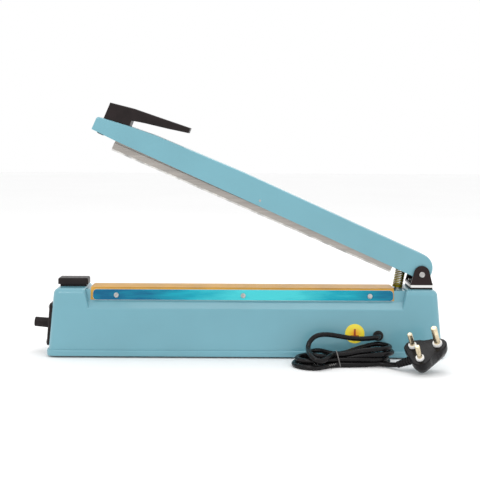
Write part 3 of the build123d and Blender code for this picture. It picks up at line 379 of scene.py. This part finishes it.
FINISHES = {
    "core_steel": lambda: laminated("varnished_laminations", (0.10, 0.10, 0.11)),
    "zinc_steel": lambda: plated("zinc_plate", (0.50, 0.50, 0.49)),
    "bright_steel": lambda: plated("polished_steel", (0.46, 0.45, 0.44), 0.16),
    "yellow_zinc": lambda: plated("yellow_zinc", bpy.context.scene.sealer_colours.spring, 0.30),
    "extrusion": lambda: brushed("mill_extrusion", (0.80, 0.79, 0.77), (9.0, 700.0, 700.0), 0.34, 0.75),
    "black_steel": lambda: enamel("black_enamel", (0.016, 0.007, 0.007), 0.0, 0.22),
    "black_rubber": lambda: soft_rubber("black_rubber", (0.016, 0.015, 0.015)),
    "black_plastic": lambda: moulded("black_moulding", (0.014, 0.009, 0.009), 0.36),
    "lamp_red": lambda: clear_lens("red_lens", (0.62, 0.03, 0.02)),
    "pot_metal": lambda: plated("tinned_steel", (0.55, 0.54, 0.50), 0.35),
    "bakelite": lambda: moulded("phenolic_board", (0.10, 0.045, 0.020), 0.5, 700.0),
    "glass_tape": lambda: woven("glass_tape", (0.78, 0.76, 0.68), 0.85, 1.05, 0.0014, 0.6),
    "nichrome": lambda: brushed("heating_strip", (0.42, 0.39, 0.36), (30.0, 1200.0, 1200.0), 0.4),
    "brass": lambda: plated("bare_brass", (0.68, 0.48, 0.18), 0.3),
    "ptfe_cloth": lambda: woven("coated_cloth", bpy.context.scene.sealer_colours.cloth),
    "blue_film": lambda: blue_film("peel_film", bpy.context.scene.sealer_colours),
    "silicone": lambda: soft_rubber("white_silicone", (0.60, 0.59, 0.57), 0.55),
    "coil_tape": lambda: moulded("coil_tape", (0.62, 0.43, 0.08), 0.3, 300.0),
    "board_green": lambda: moulded("circuit_board", (0.02, 0.14, 0.05), 0.35, 500.0),
    "component_black": lambda: moulded("component_case", (0.03, 0.03, 0.035), 0.4),
    "nylon": lambda: moulded("natural_nylon", (0.75, 0.74, 0.68), 0.4),
    "wire_red": lambda: soft_rubber("silicone_wire", (0.45, 0.03, 0.02), 0.5),
    "cord_black": lambda: smooth_sheath("cord_sheath", (0.004, 0.0035, 0.004)),
    "pin_nickel": lambda: plated("plated_pin", (0.80, 0.68, 0.47), 0.26),
    "collar_white": lambda: moulded("white_collar", (0.86, 0.86, 0.86), 0.3),
}


def finish_of(slot):
    """The material of a slot, made once."""
    key = "slot_" + slot
    if key not in bpy.data.materials:
        made = FINISHES[slot]()
        made.name = key
    return bpy.data.materials[key]


# ---- modelling by hand ----
def nothing_selected():
    if bpy.context.object and bpy.context.object.mode != "OBJECT":
        bpy.ops.object.mode_set(mode="OBJECT")
    bpy.ops.object.select_all(action="DESELECT")


def only(obj):
    nothing_selected()
    obj.select_set(True)
    bpy.context.view_layer.objects.active = obj
    return obj


def settle(obj, name):
    """Puts the object's place into its mesh, so that the object sits at the origin."""
    only(obj)
    bpy.ops.object.transform_apply(location=True, rotation=True, scale=True)
    obj.name = name
    obj.data.name = name
    return obj


def start(kind, name, **values):
    nothing_selected()
    getattr(bpy.ops.mesh, kind)(**values)
    return settle(bpy.context.object, name)


def picked(obj, faces=None, edges=None):
    """Goes into edit mode with only the faces or edges selected that the test takes."""
    only(obj)
    bpy.ops.object.mode_set(mode="EDIT")
    bpy.ops.mesh.select_all(action="DESELECT")
    mesh = bmesh.from_edit_mesh(obj.data)
    for face in mesh.faces if faces else ():
        face.select_set(bool(faces(face)))
    for edge in mesh.edges if edges else ():
        if edges(edge):
            edge.select_set(True)
    bmesh.update_edit_mesh(obj.data)


def leave_edit():
    bpy.ops.object.mode_set(mode="OBJECT")


def applied(obj, kind, name, **values):
    only(obj)
    modifier = obj.modifiers.new(name, kind)
    for key, value in values.items():
        setattr(modifier, key, value)
    bpy.ops.object.modifier_apply(modifier=modifier.name)


def face_out(obj):
    picked(obj)
    bpy.ops.mesh.select_all(action="SELECT")
    bpy.ops.mesh.remove_doubles(threshold=1e-6)
    bpy.ops.mesh.normals_make_consistent(inside=False)
    leave_edit()


def smooth(obj, angle=35.0):
    only(obj)
    bpy.ops.object.shade_smooth_by_angle(angle=radians(angle))


def dress(obj, material):
    obj.data.materials.clear()
    obj.data.materials.append(material)
    return obj


def stands_for(obj, body, slot, *nodes):
    if body:
        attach(obj, body)
    if nodes:
        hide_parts(*nodes)
    return obj


def spline(name, points, cyclic=False):
    """A smooth curve whose control points are the points."""
    curve = bpy.data.curves.new(name, "CURVE")
    curve.dimensions = "3D"
    line = curve.splines.new("NURBS")
    line.points.add(len(points) - 1)
    for spot, point in zip(line.points, points):
        spot.co = (*point, 1.0)
    line.use_cyclic_u = cyclic
    line.order_u = 3
    line.use_endpoint_u = not cyclic
    line.resolution_u = 8
    made = bpy.data.objects.new(name, curve)
    bpy.context.scene.collection.objects.link(made)
    return made


def tube(name, points, radius, sides=10, cyclic=False):
    """A mesh tube along a smooth curve, with closed ends."""
    made = spline(name, points, cyclic)
    made.data.bevel_depth = radius
    made.data.bevel_resolution = max(1, sides // 2 - 1)
    made.data.use_fill_caps = True
    only(made)
    bpy.ops.object.convert(target="MESH")
    made = bpy.context.object
    for polygon in made.data.polygons:
        polygon.use_smooth = True
    return settle(made, name)


# ---- stage ----
class SEALER_OT_camera(bpy.types.Operator):
    """Place the camera level with the casing, a little above it"""
    bl_idname = "sealer.camera"
    bl_label = "Camera"

    def execute(self, context):
        settings = context.scene.sealer_camera
        data = bpy.data.cameras.new("view")
        camera = bpy.data.objects.new("view", data)
        context.scene.collection.objects.link(camera)
        camera.location = (settings.aside, -settings.distance, settings.height)
        turn = Matrix.Rotation(pi / 2 - settings.pitch, 3, "X") @ Matrix.Rotation(settings.roll, 3, "Z")
        camera.rotation_euler = turn.to_euler()
        data.lens = settings.lens
        data.sensor_width = 36.0
        data.clip_start = 0.05
        context.scene.camera = camera
        return {"FINISHED"}


class SEALER_OT_stage(bpy.types.Operator):
    """Lay a pale floor and hang soft studio lights"""
    bl_idname = "sealer.stage"
    bl_label = "Floor and Lights"

    def execute(self, context):
        colours = context.scene.sealer_colours
        nothing_selected()
        bpy.ops.mesh.primitive_plane_add(size=14.0, location=(0, 0, 0))
        floor = settle(context.object, "floor")
        made = Finish("pale_floor", colours.floor, 0.85)
        made.tint(made.noise(2.0, 3.0), 0.985, 1.0)
        dress(floor, made.material)
        world = bpy.data.worlds.new("studio")
        world.use_nodes = True
        world.node_tree.nodes["Background"].inputs["Color"].default_value = (1.0, 1.0, 1.0, 1.0)
        world.node_tree.nodes["Background"].inputs["Strength"].default_value = 1.0
        context.scene.world = world
        context.scene.view_settings.view_transform = "Standard"
        lights = (
            ("key", (-0.9, -1.5, 1.5), 0.7, 7.0), ("fill", (1.3, -1.3, 0.8), 1.2, 2.5),
            ("top", (0.1, 0.2, 1.7), 1.0, 5.0), ("rim", (0.6, 1.6, 1.1), 1.0, 4.0),
        )
        for name, place, across, power in lights:
            data = bpy.data.lights.new(name, "AREA")
            data.shape = "DISK"
            data.size = across
            data.energy = power
            light = bpy.data.objects.new(name, data)
            context.scene.collection.objects.link(light)
            light.location = place
            aim = Vector((0, 0, 0.1)) - Vector(place)
            light.rotation_euler = aim.to_track_quat("-Z", "Y").to_euler()
        return {"FINISHED"}


# ---- cord ----
# the cord's route out of its outlet, over the front of the hank and down
LEAD = [
    (0.18904, -0.04116, 0.03176), (0.18904, -0.05016, 0.03256), (0.18304, -0.05816, 0.03296),
    (0.17204, -0.06166, 0.03236), (0.15604, -0.06216, 0.03196), (0.13604, -0.06116, 0.03496),
    (0.11804, -0.06066, 0.03796), (0.10304, -0.06266, 0.03636), (0.09404, -0.06816, 0.02826),
    (0.09254, -0.07716, 0.02126), (0.0925, -0.0900, 0.0194), (0.0950, -0.1010, 0.0168),
    (0.1010, -0.1085, 0.0132), (0.1100, -0.1070, 0.0124), (0.1180, -0.0970, 0.0154),
]
TAIL = [
    (0.1250, -0.0886, 0.0034), (0.1420, -0.0892, 0.0034), (0.1630, -0.0875, 0.0036),
    (0.18124, -0.0840, 0.0046), (0.19124, -0.0875, 0.0042), (0.19974, -0.0935, 0.0048),
    (0.20504, -0.1010, 0.0068),
]
# each turn of the hank: (y, z) of its front and rear run at the tie, then its end loops as
# (first y, last y, first z, last z, how far along x the loop reaches), in millimetres
TURNS = [
    ((-82.0, 15.3), (-75.4, 15.1), (-86.0, -51.0, 23.6, 23.2, 200.0), (-61.0, -90.0, 16.2, 15.2, 94.0)),
    ((-78.7, 9.1), (-72.1, 9.1), (-88.0, -50.5, 17.3, 16.3, 203.0), (-60.0, -98.0, 9.7, 9.7, 78.0)),
    ((-85.3, 9.1), (-75.4, 3.3), (-86.0, -58.0, 10.4, 9.7, 196.0), (-66.0, -99.0, 3.3, 3.3, 84.0)),
    ((-82.0, 3.3), (-68.8, 3.3), (-77.0, -48.5, 3.4, 3.3, 199.0), (-56.0, -107.0, 3.3, 3.3, 74.0)),
]
LAST_RUN = (-88.6, 3.4)
LOOP_POINTS = 5


def between(first, second, share):
    return tuple(a + (b - a) * share for a, b in zip(first, second))


def end_loop(reach, first, last):
    """Points round one end of the hank; first and last are (y, z) and reach is the loop's far end."""
    radius = abs(last[0] - first[0]) / 2
    side = 1.0 if reach > 150.0 else -1.0
    centre = between(first, last, 0.5)
    points = []
    for k in range(LOOP_POINTS):
        angle = pi * k / (LOOP_POINTS - 1)
        y = centre[0] + (first[0] - centre[0]) * cos(angle) * 1.05
        z = centre[1] + (first[1] - centre[1]) * cos(angle)
        points.append((reach + side * radius * (1.07 * sin(angle) - 1.0), y, z))
    return points, reach - side * radius


def hank_points(left, right):
    points = []
    for turn, (front, rear, right_loop, left_loop) in enumerate(TURNS):
        after = TURNS[turn + 1][0] if turn + 1 < len(TURNS) else LAST_RUN
        points += [(left, *front), (right, *front)]
        first, last = (right_loop[0], right_loop[2]), (right_loop[1], right_loop[3])
        loop, centre = end_loop(right_loop[4], first, last)
        half_way = (right + centre) / 2
        y = between(front, loop[0][1:], 0.55)[0]
        points.append((half_way, y, between(front, loop[0][1:], 0.75)[1]))
        points += loop
        points.append((half_way, *between(rear, loop[-1][1:], 0.55)))
        points += [(right, *rear), (left, *rear)]
        first, last = (left_loop[0], left_loop[2]), (left_loop[1], left_loop[3])
        loop, centre = end_loop(left_loop[4], first, last)
        half_way = (left + centre) / 2
        points.append((half_way, *between(rear, loop[0][1:], 0.5)))
        points += loop
        points.append((half_way, *between(after, loop[-1][1:], 0.5)))
    return [tuple(value * MM for value in point) for point in points]


def tie_ring(x, lean, margin):
    """Points round the hank's middle, just outside its runs; lean tips the ring."""
    low, high = -0.0925, -0.0650
    top = 0.0190
    outline = [
        (low, 0.0008), (low - margin, 0.006), (low + 0.001, 0.0125), (low + 0.0045, top - 0.001),
        (-0.0805, top + margin), (-0.0740, top + 0.0004), (high - 0.002, 0.0125),
        (high + margin, 0.006), (high, 0.0008),
    ]
    return [(x + lean * (z - 0.01), y, z) for y, z in outline]


class SEALER_OT_cord(bpy.types.Operator):
    """Lay the mains cord in its hank and tie it"""
    bl_idname = "sealer.cord"
    bl_label = "Mains Cord"

    def execute(self, context):
        settings = context.scene.sealer_cord
        radius = settings.diameter / 2
        points = LEAD + hank_points(settings.tie_left / MM, settings.tie_right / MM) + TAIL
        cord = spline("mains_cord", points)
        cord.data.bevel_depth = radius
        cord.data.bevel_resolution = 5
        cord.data.use_fill_caps = True
        dress(cord, finish_of("cord_black"))
        stands_for(cord, "base", "cord_black", "cord_lead", "cord_hank", "cord_tail")
        wire = settings.tie_wire / 2
        tie_x = (settings.tie_left + settings.tie_right) / 2
        made = Finish("tie_coating", (0.16, 0.155, 0.15), 0.4)
        made.tint(made.noise(500.0), 0.8, 1.25)
        made.bump(made.noise(1500.0), 0.2, 0.0002)
        band = tube("cord_tie", tie_ring(tie_x, -0.25, 0.0007), wire, 8, cyclic=True)
        dress(band, made.material)
        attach(band, "base")
        twist = []
        for k in range(33):
            angle = k / 32 * 8 * pi
            twist.append((tie_x - 0.004 - k * 0.00034, -0.0945 - 0.0009 * cos(angle) - k * 0.0001,
                          0.0058 + 0.0009 * sin(angle) - 0.00005 * k))
        tail = tube("cord_tie_twist", twist, wire * 0.9, 6)
        dress(tail, made.material)
        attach(tail, "base")
        return {"FINISHED"}


# ---- pieces ----
def lathe(name, steps, sides=28):
    """A closed turned form along +Z from the origin; steps are (radius, height)."""
    made = start("primitive_circle_add", name, vertices=sides, radius=steps[0][0], fill_type="NGON",
                 location=(0, 0, steps[0][1]))
    picked(made)
    bpy.ops.mesh.select_all(action="SELECT")
    for before, after in zip(steps, steps[1:]):
        bpy.ops.mesh.extrude_region_move(TRANSFORM_OT_translate={"value": (0, 0, after[1] - before[1])})
        scale = after[0] / before[0]
        bpy.ops.transform.resize(value=(scale, scale, 1), center_override=(0, 0, after[1]))
    leave_edit()
    face_out(made)
    return made


def placed(obj, origin, matrix, name):
    """Turns and moves the object, then puts its place into its mesh."""
    obj.matrix_world = Matrix.Translation(origin) @ matrix.to_4x4()
    return settle(obj, name)


def axes(x, z):
    """The turn that takes +Z to z and +X towards x."""
    z = Vector(z).normalized()
    x = (Vector(x) - z * z.dot(Vector(x))).normalized()
    return Matrix((x, z.cross(x), z)).transposed()


PLUG_FACE = Vector((0.22624, -0.1164, 0.0266))
PLUG_TURN = axes((0.932, 0.059, 0.359), (-0.289, -0.478, 0.829))
PIN_PLACES = [(0.0, -0.0127), (0.0, 0.0127), (0.0286, 0.0)]


class SEALER_OT_plug(bpy.types.Operator):
    """Mould the plug around its pins, with its ribbed strain relief"""
    bl_idname = "sealer.plug"
    bl_label = "Plug and Strain Relief"

    def execute(self, context):
        slices = []
        for k, (radius, depth) in enumerate(((0.0102, 0.0), (0.0115, -0.0013), (0.0113, -0.0085),
                                             (0.0098, -0.0125), (0.0068, -0.0185))):
            for x, y in PIN_PLACES:
                slices.append(start("primitive_circle_add", f"slice_{k}", vertices=48, radius=radius,
                                    location=(x, y, depth)))
        nothing_selected()
        for piece in slices:
            piece.select_set(True)
        context.view_layer.objects.active = slices[0]
        bpy.ops.object.join()
        body = context.object
        picked(body)
        bpy.ops.mesh.select_all(action="SELECT")
        bpy.ops.mesh.convex_hull()
        bpy.ops.mesh.dissolve_limited(angle_limit=radians(1.0))
        leave_edit()
        # the waist between the earth pin's lobe and each line pin's lobe
        for side in (-1.0, 1.0):
            outward = Vector((0.0127, 0.0286 * side, 0.0)).normalized()
            spot = Vector((0.0143, 0.00635 * side, 0.0)) + outward * (0.0115 + 0.0220 - 0.0024)
            cutter = start("primitive_cylinder_add", "cutter", vertices=160, radius=0.0220, depth=0.060,
                           location=spot)
            applied(body, "BOOLEAN", "waist", operation="DIFFERENCE", object=cutter)
            bpy.data.objects.remove(cutter)
        # a shallow step inside the rim of the front face
        picked(body, faces=lambda face: face.normal.z > 0.99)
        bpy.ops.mesh.inset(thickness=0.0016)
        bpy.ops.mesh.inset(thickness=0.0003, depth=-0.0005)
        leave_edit()
        # finger grooves across the back
        for k in range(3):
            cutter = start("primitive_cube_add", "cutter", size=1.0,
                           location=(0.0055 + 0.0050 * k, 0.0, -0.0195), scale=(0.0016, 0.060, 0.0030))
            applied(body, "BOOLEAN", "groove", operation="DIFFERENCE", object=cutter)
            bpy.data.objects.remove(cutter)
        applied(body, "BEVEL", "edges", width=0.0005, segments=3, limit_method="ANGLE",
                angle_limit=radians(28.0))
        face_out(body)
        placed(body, PLUG_FACE, PLUG_TURN, "moulded_plug")
        smooth(body, 38.0)
        dress(body, finish_of("cord_black"))
        stands_for(body, "base", "cord_black", "plug_body")

        end = Vector(TAIL[-1])
        target = PLUG_FACE + PLUG_TURN @ Vector((-0.0085, 0.0, -0.0090))
        reach = (target - end).length
        steps = [(0.00375, 0.0), (0.00430, 0.0006)]
        ribs = 5
        pitch = (reach - 0.0015) / ribs
        for k in range(ribs):
            low = 0.0006 + pitch * k
            wide = 0.00430 + 0.00030 * k
            steps += [(wide, low + pitch * 0.56), (wide - 0.0009, low + pitch * 0.60),
                      (wide - 0.0009, low + pitch * 0.92), (wide + 0.0003, low + pitch * 0.96)]
        steps.append((steps[-1][0], reach + 0.0020))
        relief = lathe("plug_relief_ribs", steps, 32)
        applied(relief, "BEVEL", "edges", width=0.00018, segments=2, limit_method="ANGLE",
                angle_limit=radians(30.0))
        placed(relief, end, axes((0, 0, 1), target - end), "plug_relief_ribs")
        smooth(relief, 40.0)
        dress(relief, finish_of("cord_black"))
        stands_for(relief, "base", "cord_black", "plug_relief")
        return {"FINISHED"}


# half of the cloth's path over the deck, from its lower edge to the middle:
# (distance from the middle, height)
CLOTH_PATH = [
    (CLOTH_HIGH.y - 0.0003, CLOTH_LOW.z + 0.0001), (0.0208, 0.08945), (0.0203, 0.0902),
    (0.0198, 0.0917), (0.0190, 0.0923), (0.0080, 0.09275), (0.0040, 0.09286), (0.0, 0.09290),
]


class SEALER_OT_cloth(bpy.types.Operator):
    """Stretch the coated cloth over the sealing bed"""
    bl_idname = "sealer.cloth"
    bl_label = "Sealing Cloth"

    def execute(self, context):
        settings = context.scene.sealer_cloth
        length = CLOTH_HIGH.x - CLOTH_LOW.x
        centre = (CLOTH_LOW.x + CLOTH_HIGH.x) / 2
        path = [(-y, z) for y, z in CLOTH_PATH] + [(y, z) for y, z in reversed(CLOTH_PATH[:-1])]
        cloth = start("primitive_plane_add", "sealing_cloth", size=1.0, location=(centre, 0, 0))
        # the plane's first facet stands on the path's first two points
        picked(cloth)
        bpy.ops.mesh.select_all(action="SELECT")
        bpy.ops.transform.resize(value=(length, 1, 1), center_override=(centre, 0, 0))
        leave_edit()
        for vertex in cloth.data.vertices:
            y, z = path[0] if vertex.co.y < 0 else path[1]
            vertex.co.y, vertex.co.z = y, z
        picked(cloth, edges=lambda edge: all(abs(v.co.y - path[1][0]) < 1e-7 for v in edge.verts))
        for (y0, z0), (y1, z1) in zip(path[1:], path[2:]):
            bpy.ops.mesh.extrude_region_move(TRANSFORM_OT_translate={"value": (0, y1 - y0, z1 - z0)})
        leave_edit()
        picked(cloth, edges=lambda edge: abs(edge.verts[0].co.x - edge.verts[1].co.x) > length / 2)
        bpy.ops.mesh.subdivide(number_cuts=220)
        leave_edit()
        picked(cloth, edges=lambda edge: edge.calc_length() > 0.0035)
        bpy.ops.mesh.subdivide(number_cuts=3)
        leave_edit()
        face_out(cloth)
        # small ripples where the cloth is pulled down past the strips
        ripple = bpy.data.textures.new("ripple", "CLOUDS")
        ripple.noise_scale = 0.022
        group = cloth.vertex_groups.new(name="free")
        for vertex in cloth.data.vertices:
            at_end = max(0.0, abs(vertex.co.x - centre) - length / 2 + 0.006) / 0.006
            on_top = max(0.0, min(1.0, (vertex.co.z - 0.0898) / 0.002)) * 0.15
            group.add([vertex.index], min(1.0, at_end * 0.5 + on_top), "REPLACE")
        applied(cloth, "DISPLACE", "ripple", texture=ripple, strength=0.0006, mid_level=0.5,
                vertex_group="free")
        applied(cloth, "SOLIDIFY", "thickness", thickness=settings.thickness * 0.6, offset=0.0)
        smooth(cloth, 60.0)
        dress(cloth, finish_of("ptfe_cloth"))
        stands_for(cloth, "base", "ptfe_cloth", "ptfe_cover")
        return {"FINISHED"}


class SEALER_OT_films(bpy.types.Operator):
    """Lay wrinkled peel-off film on both retaining strips"""
    bl_idname = "sealer.films"
    bl_label = "Strip Films"

    def execute(self, context):
        settings = context.scene.sealer_cloth
        length = STRIP_HIGH.x - STRIP_LOW.x - 0.0004
        centre = (STRIP_LOW.x + STRIP_HIGH.x) / 2
        for side, name in ((-1, "film_front"), (1, "film_rear")):
            low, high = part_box("retaining_strip_" + ("front" if side < 0 else "rear"))
            slope = Vector((0.0, STRIP_SLOPE_Y * side, -STRIP_SLOPE_Z)).normalized()
            normal = Vector((0.0, STRIP_SLOPE_Z * side, STRIP_SLOPE_Y)).normalized()
            middle_of = Vector((centre, (low.y + high.y) / 2, (low.z + high.z) / 2))
            film = start("primitive_grid_add", name, x_subdivisions=420, y_subdivisions=18, size=1.0)
            film.scale = (length / 6.0, 0.0142, 1.0)
            settle(film, name)
            crease = bpy.data.textures.new(name + "_crease", "CLOUDS")
            crease.noise_scale = 0.0045 if side < 0 else 0.0052
            crease.noise_depth = 2
            applied(film, "DISPLACE", "crease", texture=crease, strength=settings.wrinkle, mid_level=0.42,
                    direction="Z")
            film.scale = (6.0, 1.0, 1.0)
            settle(film, name)
            corners = start("primitive_cube_add", "corners", size=1.0, scale=(length, 0.0141, 0.010))
            picked(corners, edges=lambda edge: abs(edge.verts[0].co.z - edge.verts[1].co.z) > 0.005)
            bpy.ops.mesh.bevel(offset=0.0048, segments=8)
            leave_edit()
            applied(film, "SOLIDIFY", "thickness", thickness=settings.film, offset=1.0)
            applied(film, "BOOLEAN", "corners", operation="INTERSECT", object=corners)
            bpy.data.objects.remove(corners)
            turn = Matrix((Vector((1, 0, 0)), slope * -side, normal)).transposed()
            if turn.determinant() < 0:
                turn = Matrix((Vector((1, 0, 0)), slope * side, normal)).transposed()
            placed(film, middle_of + normal * 0.00105, turn, name)
            for x in STRIP_SCREW_X:
                hole = start("primitive_cylinder_add", "hole", vertices=32, radius=0.0034, depth=0.02)
                placed(hole, Vector((x, middle_of.y, STRIP_SCREW_Z)), axes((1, 0, 0), normal), "hole")
                applied(film, "BOOLEAN", "hole", operation="DIFFERENCE", object=hole)
                bpy.data.objects.remove(hole)
            smooth(film, 60.0)
            dress(film, finish_of("blue_film"))
            stands_for(film, "base", "blue_film", *(["strip_films"] if side < 0 else []))
        return {"FINISHED"}


def coil(name, foot, top, radius, wire, turns, closed=1.6):
    """A compression spring with closed ends along the line from foot to top."""
    foot, top = Vector(foot), Vector(top)
    height = (top - foot).length - wire
    turn = axes((1, 0, 0.01), top - foot)
    total = turns + 2 * closed
    end_height = closed * wire * 1.05
    count = int(total * 14)
    points = []
    for k in range(count + 1):
        through = total * k / count
        if through < closed:
            z = end_height * through / closed
        elif through > total - closed:
            z = height - end_height * (total - through) / closed
        else:
            z = end_height + (height - 2 * end_height) * (through - closed) / turns
        angle = 2 * pi * through
        points.append(foot + turn @ Vector((radius * cos(angle), radius * sin(angle), z + wire / 2)))
    return tube(name, points, wire / 2, 10)


class SEALER_OT_springs(bpy.types.Operator):
    """Wind the lifting spring under the arm and the spring under the switch cap"""
    bl_idname = "sealer.springs"
    bl_label = "Springs"

    def execute(self, context):
        settings = context.scene.sealer_springs
        lift = coil("lift_spring", SPRING_FOOT, SPRING_TOP, settings.radius, settings.wire, settings.turns)
        dress(lift, finish_of("yellow_zinc"))
        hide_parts("arm_spring")
        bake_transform(lift)
        low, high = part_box("cap_spring")
        x = (low.x + high.x) / 2
        foot, top = (x, 0.0, low.z), (x, 0.0, high.z)
        cap = coil("cap_return_spring", foot, top, settings.cap_radius, settings.cap_wire, 4, 1.2)
        dress(cap, finish_of("yellow_zinc"))
        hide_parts("cap_spring")
        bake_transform(cap)
        return {"FINISHED"}


def joined(pieces, name):
    nothing_selected()
    for piece in pieces:
        piece.select_set(True)
    bpy.context.view_layer.objects.active = pieces[0]
    if len(pieces) > 1:
        bpy.ops.object.join()
    return settle(bpy.context.object, name)


class SEALER_OT_dial(bpy.types.Operator):
    """Print the timer's scale on its panel and the mark on the disc"""
    bl_idname = "sealer.dial"
    bl_label = "Dial Scale and Disc Mark"

    def execute(self, context):
        settings = context.scene.sealer_dial
        outward = Vector((-cos(DRAFT), 0.0, sin(DRAFT)))
        turn = axes((0, -1, 0), outward)
        face = DIAL + outward * DIAL_FACE
        ink = Finish("white_print", (0.85, 0.85, 0.83), 0.5)
        ink.tint(ink.noise(700.0), 0.85, 1.0)
        ink.roughness(ink.noise(300.0), 0.4, 0.6)
        marks = []
        for k in range(settings.marks * 2 - 1):
            angle = radians(225.0) - radians(270.0) * k / (settings.marks * 2 - 2)
            way = Vector((cos(angle), sin(angle), 0.0))
            long_mark = k % 2 == 0
            size_of = 0.0022 if long_mark else 0.0013
            mark = start("primitive_cube_add", "mark", size=1.0, scale=(size_of, 0.0004, 0.0001))
            place = face + turn @ (way * 0.0106)
            placed(mark, place, turn @ Matrix.Rotation(angle, 3, "Z"), "mark")
            marks.append(mark)
            if long_mark:
                text = bpy.data.curves.new("number", "FONT")
                text.body = str(k // 2)
                text.size = settings.text
                text.align_x = "CENTER"
                text.align_y = "CENTER"
                text.extrude = 0.00005
                number = bpy.data.objects.new("number", text)
                context.scene.collection.objects.link(number)
                only(number)
                bpy.ops.object.convert(target="MESH")
                number = context.object
                placed(number, face + turn @ (way * settings.radius), turn, "number")
                marks.append(number)
        scale = joined(marks, "dial_scale")
        dress(scale, ink.material)
        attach(scale, "base")
        # the painted line on the knob's end, which shows where it points
        line = start("primitive_cube_add", "line", size=1.0, scale=(0.0009, 0.0050, 0.0001))
        spot = DIAL + outward * KNOB_END + turn @ Vector((0.0, 0.0026, 0.0))
        placed(line, spot, turn, "knob_pointer_line")
        dress(line, ink.material)
        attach(line, "timer_knob")

        centre = middle("warning_disc")
        normal = Vector((0.0, -cos(DRAFT), sin(DRAFT)))
        low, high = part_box("warning_disc")
        wide = high.x - low.x
        turn = axes((1, 0, 0), normal)
        bars = []
        for across, up, place in ((wide * 0.10, wide * 0.34, (0.0, wide * 0.07)),
                                  (wide * 0.42, wide * 0.10, (0.0, -wide * 0.13))):
            bar = start("primitive_cube_add", "bar", size=1.0, scale=(across, up, 0.0001))
            spot = centre + normal * 0.0002 + turn @ Vector((place[0], place[1], 0.0))
            bars.append(placed(bar, spot, turn, "bar"))
        mark = joined(bars, "disc_mark")
        paint = Finish("disc_mark_print", context.scene.sealer_colours.disc_mark, 0.4)
        paint.tint(paint.noise(500.0), 0.8, 1.1)
        paint.roughness(paint.noise(300.0), 0.3, 0.5)
        dress(mark, paint.material)
        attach(mark, "base")
        return {"FINISHED"}


# ---- finishes of the fixed nodes ----
class SEALER_OT_finishes(bpy.types.Operator):
    """Give every fixed part the finish of its slot"""
    bl_idname = "sealer.finishes"
    bl_label = "Finishes"

    def execute(self, context):
        colours = context.scene.sealer_colours
        body = enamel("casing_enamel", colours.body)
        arm = enamel("arm_enamel", colours.arm)
        # the bar stands open at rest, so its die lines lie along its own slope
        low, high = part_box("press_bar")
        slope = atan((high.z - low.z) / (high.x - low.x))
        bar = brushed("bar_extrusion", (0.42, 0.39, 0.36), (5.0, 500.0, 500.0), 0.30, 0.85, (0, slope, 0))
        special = {"base_shell": body, "arm_shell": arm, "press_bar": bar}
        for row in frame["record"]["subparts"]:
            node, slot = row["node"], row["material_slot"]
            if node == "warning_disc":
                material = printed_disc("printed_disc", colours)
            elif node in special:
                material = special[node]
            else:
                material = finish_of(slot)
            dress(frame["nodes"][node], material)
        return {"FINISHED"}


OPERATORS = [
    SEALER_OT_camera, SEALER_OT_cord, SEALER_OT_plug, SEALER_OT_cloth, SEALER_OT_films, SEALER_OT_springs,
    SEALER_OT_dial, SEALER_OT_finishes, SEALER_OT_stage,
]


class SEALER_PT_panel(bpy.types.Panel):
    """The heat sealer's pieces and their sizes"""
    bl_label = "Heat Sealer"
    bl_idname = "SEALER_PT_panel"
    bl_space_type = "VIEW_3D"
    bl_region_type = "UI"
    bl_category = "Heat Sealer"

    def draw(self, context):
        for operator in OPERATORS:
            self.layout.operator(operator.bl_idname)
        for name, group in GROUPS.items():
            box = self.layout.box()
            for key in group.__annotations__:
                box.prop(getattr(context.scene, name), key)


def register():
    for group in GROUPS.values():
        bpy.utils.register_class(group)
    for name, group in GROUPS.items():
        setattr(bpy.types.Scene, name, bpy.props.PointerProperty(type=group))
    for operator in OPERATORS:
        bpy.utils.register_class(operator)
    bpy.utils.register_class(SEALER_PT_panel)


def unregister():
    bpy.utils.unregister_class(SEALER_PT_panel)
    for operator in reversed(OPERATORS):
        bpy.utils.unregister_class(operator)
    for name in GROUPS:
        delattr(bpy.types.Scene, name)
    for group in reversed(list(GROUPS.values())):
        bpy.utils.unregister_class(group)


def main():
    register()
    for operator in OPERATORS:
        family, name = operator.bl_idname.split(".")
        getattr(getattr(bpy.ops, family), name)()


if __name__ == "__main__":
    main()
